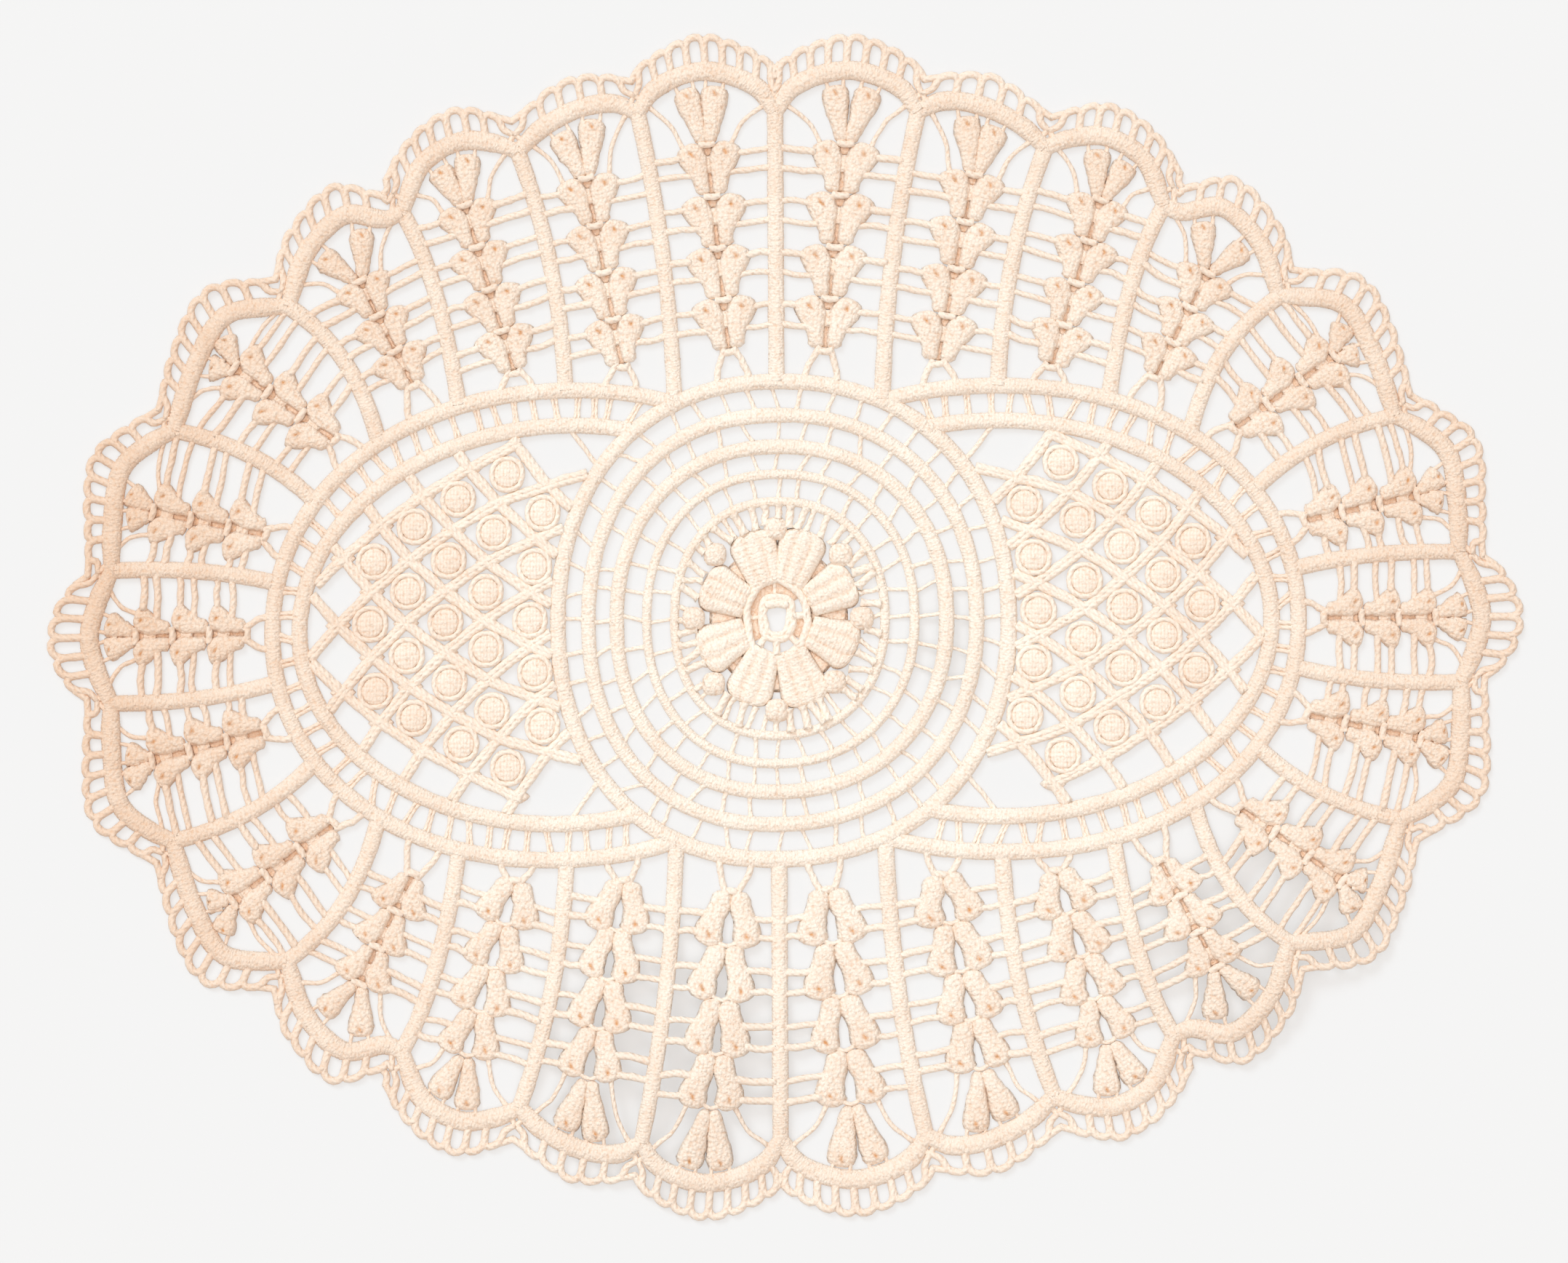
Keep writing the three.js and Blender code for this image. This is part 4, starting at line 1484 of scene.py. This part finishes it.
@dataclass
class Edging:
    """The loops that stand on the arches; over each crotch their posts cross under one flat cord."""

    pitch: float = 6.3
    post: float = 2.35
    crest: float = 2.3
    height: float = 2.0
    clear_inner: float = 4.8  # how far from the crotch the first post stands, along the arch
    clear_outer: float = 3.5  # the same, along the line of the tips
    cross: float = 0.53  # where the posts cross over a crotch, as a share of the way up to the notch
    crossed_foot: float = 3.6  # how far from the crotch such a post stands, and a post beside an open crotch
    open_foot: float = 8.0
    crest_at: float = 0.905  # how far out the crests lie, from 0 on the arch to 1 on the tips
    post_end: float = 0.72  # how wide a post is where it meets a crossing, as a share
    # Half a loop, from its foot to the middle of its crest: how far from its middle, and how far out.
    curve: tuple[Pair, ...] = ((-1.0, 0.05), (-1.0, 0.5), (-0.98, 0.74), (-0.8, 0.9), (-0.42, 0.985), (0.0, 1.0))
    # The flat cord over a crotch, from its middle: how far along the line of the tips, and how far inside it.
    flat_cord: tuple[Pair, ...] = ((0, 0.4), (2.6, 0.75), (5.2, 1.0))

    def between(self, inner: Array, outer: Array, share: float, out: float) -> Array:
        """A point between the arch's centre line and the line of the tips.

        Args:
            inner: The arch's centre line.
            outer: The line of the tips.
            share: The place along the loops, from 0 at the first post to 1 at the last.
            out: How far out, from 0 on the arch to 1 on the tips.

        Returns:
            The point.
        """
        ends = []
        for line, clear in ((inner, self.clear_inner), (outer, self.clear_outer)):
            along = lengths(line)
            at = clear + share * (along[-1] - 2 * clear)
            ends.append(np.array([np.interp(at, along, line[:, i]) for i in (0, 1)]))
        return ends[0] + (ends[1] - ends[0]) * out

    def loop(
        self, work: Work, inner: Array, outer: Array, at: float, half: float, feet: dict[int, Array | None]
    ) -> None:
        """Works one loop: two posts and a flat crest.

        Args:
            work: The work it is added to.
            inner: The arch's centre line.
            outer: The line of the loops' tips.
            at: The loop's place along the loops, from 0 to 1.
            half: Half its width, as a share of them.
            feet: Where its posts stand, by hand, if that isn't on the arch.
        """
        crest = self.crest_at + work.rng.normal(0, 0.012)
        low, bend = self.curve[0][1], self.curve[2][1]
        points = []
        for across, out in (*self.curve, *((-across, out) for across, out in self.curve[-2::-1])):
            point = self.between(inner, outer, at + half * across, out * (crest if out > 0.6 else 1))
            foot = feet.get(1 if across > 0 else -1)
            if foot is not None and out <= bend:
                up = (out - low) / (bend - low)
                straight = foot + (self.between(inner, outer, at + half * across, bend * crest) - foot) * up
                point = straight + (point - straight) * 0.6 * math.sin(math.pi * up)
            points.append(point)
        path = smooth(points, 36)
        path = even(path, lengths(path)[-1] / 18)
        share = np.sin(np.linspace(0, math.pi, len(path))) ** 1.5
        wide = (self.post + (self.crest - self.post) * share) * (1 + work.rng.normal(0, 0.035, len(path)))
        for hand, foot in feet.items():
            if foot is not None:
                wide = wide * np.interp(np.arange(len(path))[::-hand], [0, 5], [self.post_end, 1])
        height = self.height * work.rng.uniform(0.92, 1.08)
        work.strand(path, wide, height, CORD_SECTION, Stitch.TWISTED, 0.1 * work.rng.uniform())

    def crossing(self, work: Work, inner: Array, outer: Array) -> Array:
        """Works one arch's half of what spans a crotch: a post from its tape to the crossing, and the flat cord.

        Args:
            work: The work it is added to.
            inner: The arch's centre line, from the crotch on.
            outer: The line of the loops' tips, from the notch on.

        Returns:
            Where the first loop's post stands: where the posts cross, or on the arch if the crotch is left open.
        """
        up = outer[0] - inner[0]
        middle = inner[0] + up * self.cross
        is_open = abs(inner[0][0]) < 1 and inner[0][1] < 0  # the lower of the two crotches on the short axis
        along = lengths(inner)
        far = self.open_foot if is_open else self.crossed_foot
        foot = np.array([np.interp(far, along, inner[:, i]) for i in (0, 1)])
        if not is_open:
            work.cord([foot, (foot + middle) / 2, middle + up * 0.05], 1.75, steps=5, wander=0.05, ends=1.1)
        along = lengths(outer)
        rim = [
            np.array([np.interp(far, along, outer[:, i]) for i in (0, 1)]) - unit(up) * inwards
            for far, inwards in self.flat_cord
        ]
        start = rim[0] - unit(rim[1] - rim[0]) * 0.5
        height = self.height * work.rng.uniform(0.9, 1.0)
        work.strand(even(smooth([start, *rim], 12), 0.9), self.crest - 0.2, height, CORD_SECTION, Stitch.TWISTED)
        return foot if is_open else middle

    def build(self, work: Work) -> None:
        """Works the loops of every arch, and what spans the crotch at each of its ends."""
        for fan, before, after, mirror in fans_all_round():
            inner = arch_line(fan, before, after, mirror)
            outer = edge_line(fan, before, after, mirror)
            count = max(4, round((lengths(outer)[-1] - 2 * self.clear_outer) / self.pitch))
            first, last = self.crossing(work, inner, outer), self.crossing(work, inner[::-1], outer[::-1])
            for i in range(count):
                feet = {-1: first if i == 0 else None, 1: last if i == count - 1 else None}
                self.loop(work, inner, outer, (i + 0.5) / count, 0.5 / count, feet)


# ---- Stage ---------------------------------------------------------------------------------------


@dataclass(frozen=True)
class Lamp:
    """A distant light; its angle says how wide it looks and its lean how it is turned, in degrees."""

    name: str
    colour: tuple[float, float, float]
    strength: float
    angle: float
    lean: Pair

    def build(self) -> None:
        """Adds the light."""
        bpy.ops.object.light_add(type="SUN", rotation=(math.radians(self.lean[0]), math.radians(self.lean[1]), 0))
        light = bpy.context.object
        light.name = self.name
        light.data.color = self.colour
        light.data.energy = self.strength
        light.data.angle = math.radians(self.angle)


@dataclass(frozen=True)
class Studio:
    """A pale table top, soft light from behind and above, and a camera straight overhead."""

    aim: Pair = (-0.00049, -0.00138)
    view_width: float = 0.4664
    camera_height: float = 1.6
    sensor_mm: float = 36.0
    floor_size: float = 6.0
    backdrop: str = "E1E3E6"
    glow: str = "F8F6F3"  # what the table top shows of itself, so that shadows on it stay faint
    glow_share: float = 0.58
    lamps: tuple[Lamp, ...] = (
        Lamp("window_light", (0.8, 0.925, 1.0), 1.4, 20, (-41, -35)),  # the cooler one, from behind and the left
        Lamp("ceiling_light", (1.0, 0.84, 0.74), 1.3, 80, (0, 0)),  # wide and soft, straight above, the warmer one
    )
    sky: tuple[float, float, float] = (0.92, 0.97, 1.0)  # the light of the room
    sky_strength: float = 0.585

    def build(self) -> None:
        """Sets the floor, the light and the camera."""
        bpy.ops.object.select_all(action="DESELECT")
        bpy.ops.mesh.primitive_plane_add(size=self.floor_size)
        floor = bpy.context.object
        floor.name = "table_top"
        floor.data.materials.append(self.floor_finish())
        for lamp in self.lamps:
            lamp.build()
        world = bpy.data.worlds.new("room")
        bpy.context.scene.world = world
        world.use_nodes = True
        tree = world.node_tree
        tree.nodes.clear()
        sky = add_node(tree, "ShaderNodeBackground", {}, {"Color": (*self.sky, 1.0), "Strength": self.sky_strength})
        add_node(tree, "ShaderNodeOutputWorld", {}, {"Surface": sky.outputs[0]})
        bpy.context.scene.view_settings.view_transform = "Standard"
        bpy.ops.object.camera_add(location=(self.aim[0], self.aim[1], self.camera_height))
        camera = bpy.context.object
        camera.name = "overhead"
        camera.data.sensor_width = self.sensor_mm
        camera.data.lens = self.sensor_mm * self.camera_height / self.view_width
        bpy.context.scene.camera = camera

    def floor_finish(self) -> bpy.types.Material:
        """Matt white laminate: even, with the mat's soft shadow on it.

        Returns:
            The material.
        """
        material = bpy.data.materials.new("matt_white_laminate")
        material.use_nodes = True
        tree = material.node_tree
        tree.nodes.clear()
        shader = add_node(
            tree,
            "ShaderNodeBsdfPrincipled",
            {},
            {"Base Color": linear(self.backdrop), "Roughness": 1.0, "Specular IOR Level": 0.0},
        )
        glow = add_node(tree, "ShaderNodeEmission", {}, {"Color": linear(self.glow), "Strength": 1.0})
        light_path = add_node(tree, "ShaderNodeLightPath").outputs
        seen = light_path["Is Camera Ray"]
        for ray in ("Is Glossy Ray", "Is Transmission Ray"):
            seen = add_node(
                tree, "ShaderNodeMath", {"operation": "MAXIMUM"}, {0: seen, 1: light_path[ray]}
            ).outputs[0]
        share = add_node(tree, "ShaderNodeMath", {"operation": "MULTIPLY"}, {0: seen, 1: self.glow_share}).outputs[0]
        both = add_node(
            tree, "ShaderNodeMixShader", {}, {0: share, 1: shader.outputs["BSDF"], 2: glow.outputs["Emission"]}
        )
        add_node(tree, "ShaderNodeOutputMaterial", {}, {"Surface": both.outputs[0]})
        return material


# ---- The mat -------------------------------------------------------------------------------------


def work_fans(fans: Work, bars: Work) -> None:
    """Works the legs and every fan's arch, leaves and bars.

    The bars of the short fans are one piece with the leaves and tapes, because the sheet's area is measured on that
    piece, and all bars together would make it too heavy.

    Args:
        fans: The work that legs, arches and leaves are added to.
        bars: The work that the other bars are added to.
    """
    for sx, sy in QUARTERS:
        for leg in LEGS:
            if leg.foot[0] > 0 or sx > 0:
                fans.tape(leg.line() * [sx, sy], TAPE, LONG_RIB_STEP)
    base = base_line()
    for fan, before, after, mirror in fans_all_round():
        fans.tape(arch_line(fan, before, after, mirror), ARCH_TAPE, LONG_RIB_STEP, rib=0.07, ends=0.8)
        spray = Spray(fan, before, after, mirror)
        spray.leaves(fans)
        spray.stem_and_slit_shade(bars)
        spray.bars(fans if fan.pairs == SHORT_FAN else bars)
        spray.shoulders(bars)
        spray.root_legs(bars, base)


def main() -> None:
    logging.basicConfig(level=logging.INFO, format="%(name)s: %(message)s", force=True)
    rng = np.random.default_rng(SEED)
    materials = [
        # Close stitches over a core: short ribs square to the tape.
        CottonYarn("cotton_yarn_ribbed", Stitch.RIBBED, hollow_shade=0.17, bump_mm=0.26, squeeze=(1.45, 0.85, 1.0)).make(),
        # Plied cord: slanting turns.
        CottonYarn("cotton_yarn_twisted", Stitch.TWISTED, hollow_shade=0.1, bump_mm=0.18).make(),
        # Short stitches in rows: small round bumps, with painted shade in the points between them.
        CottonYarn("cotton_yarn_pebbled", Stitch.PEBBLED, hollow_shade=0.24, bump_mm=0.34).make(),
        # Darned basket weave: rows of small squares, with painted shade in the points at their corners.
        CottonYarn(
            "cotton_yarn_woven", Stitch.WOVEN, hollow_shade=0.3, bump_mm=0.24, squeeze=(1.25, 0.85, 1.0), unevenness=0.3
        ).make(),
    ]

    medallion, flower, panels = Work("mat_medallion", rng), Work("mat_flower", rng), Work("mat_panels", rng)
    fans, bars, edging = Work("mat_fans", rng), Work("mat_bars", rng), Work("mat_edging", rng)
    Medallion().build(medallion)
    Flower().build(flower)
    for side in (1, -1):
        DoubleOval(side).build(medallion)
        SidePanel(side).build(panels)
    work_fans(fans, bars)
    Edging().build(edging)

    pieces = [work.finish(materials) for work in (fans, medallion, flower, panels, bars, edging)]
    Studio().build()


if __name__ == "__main__":
    main()
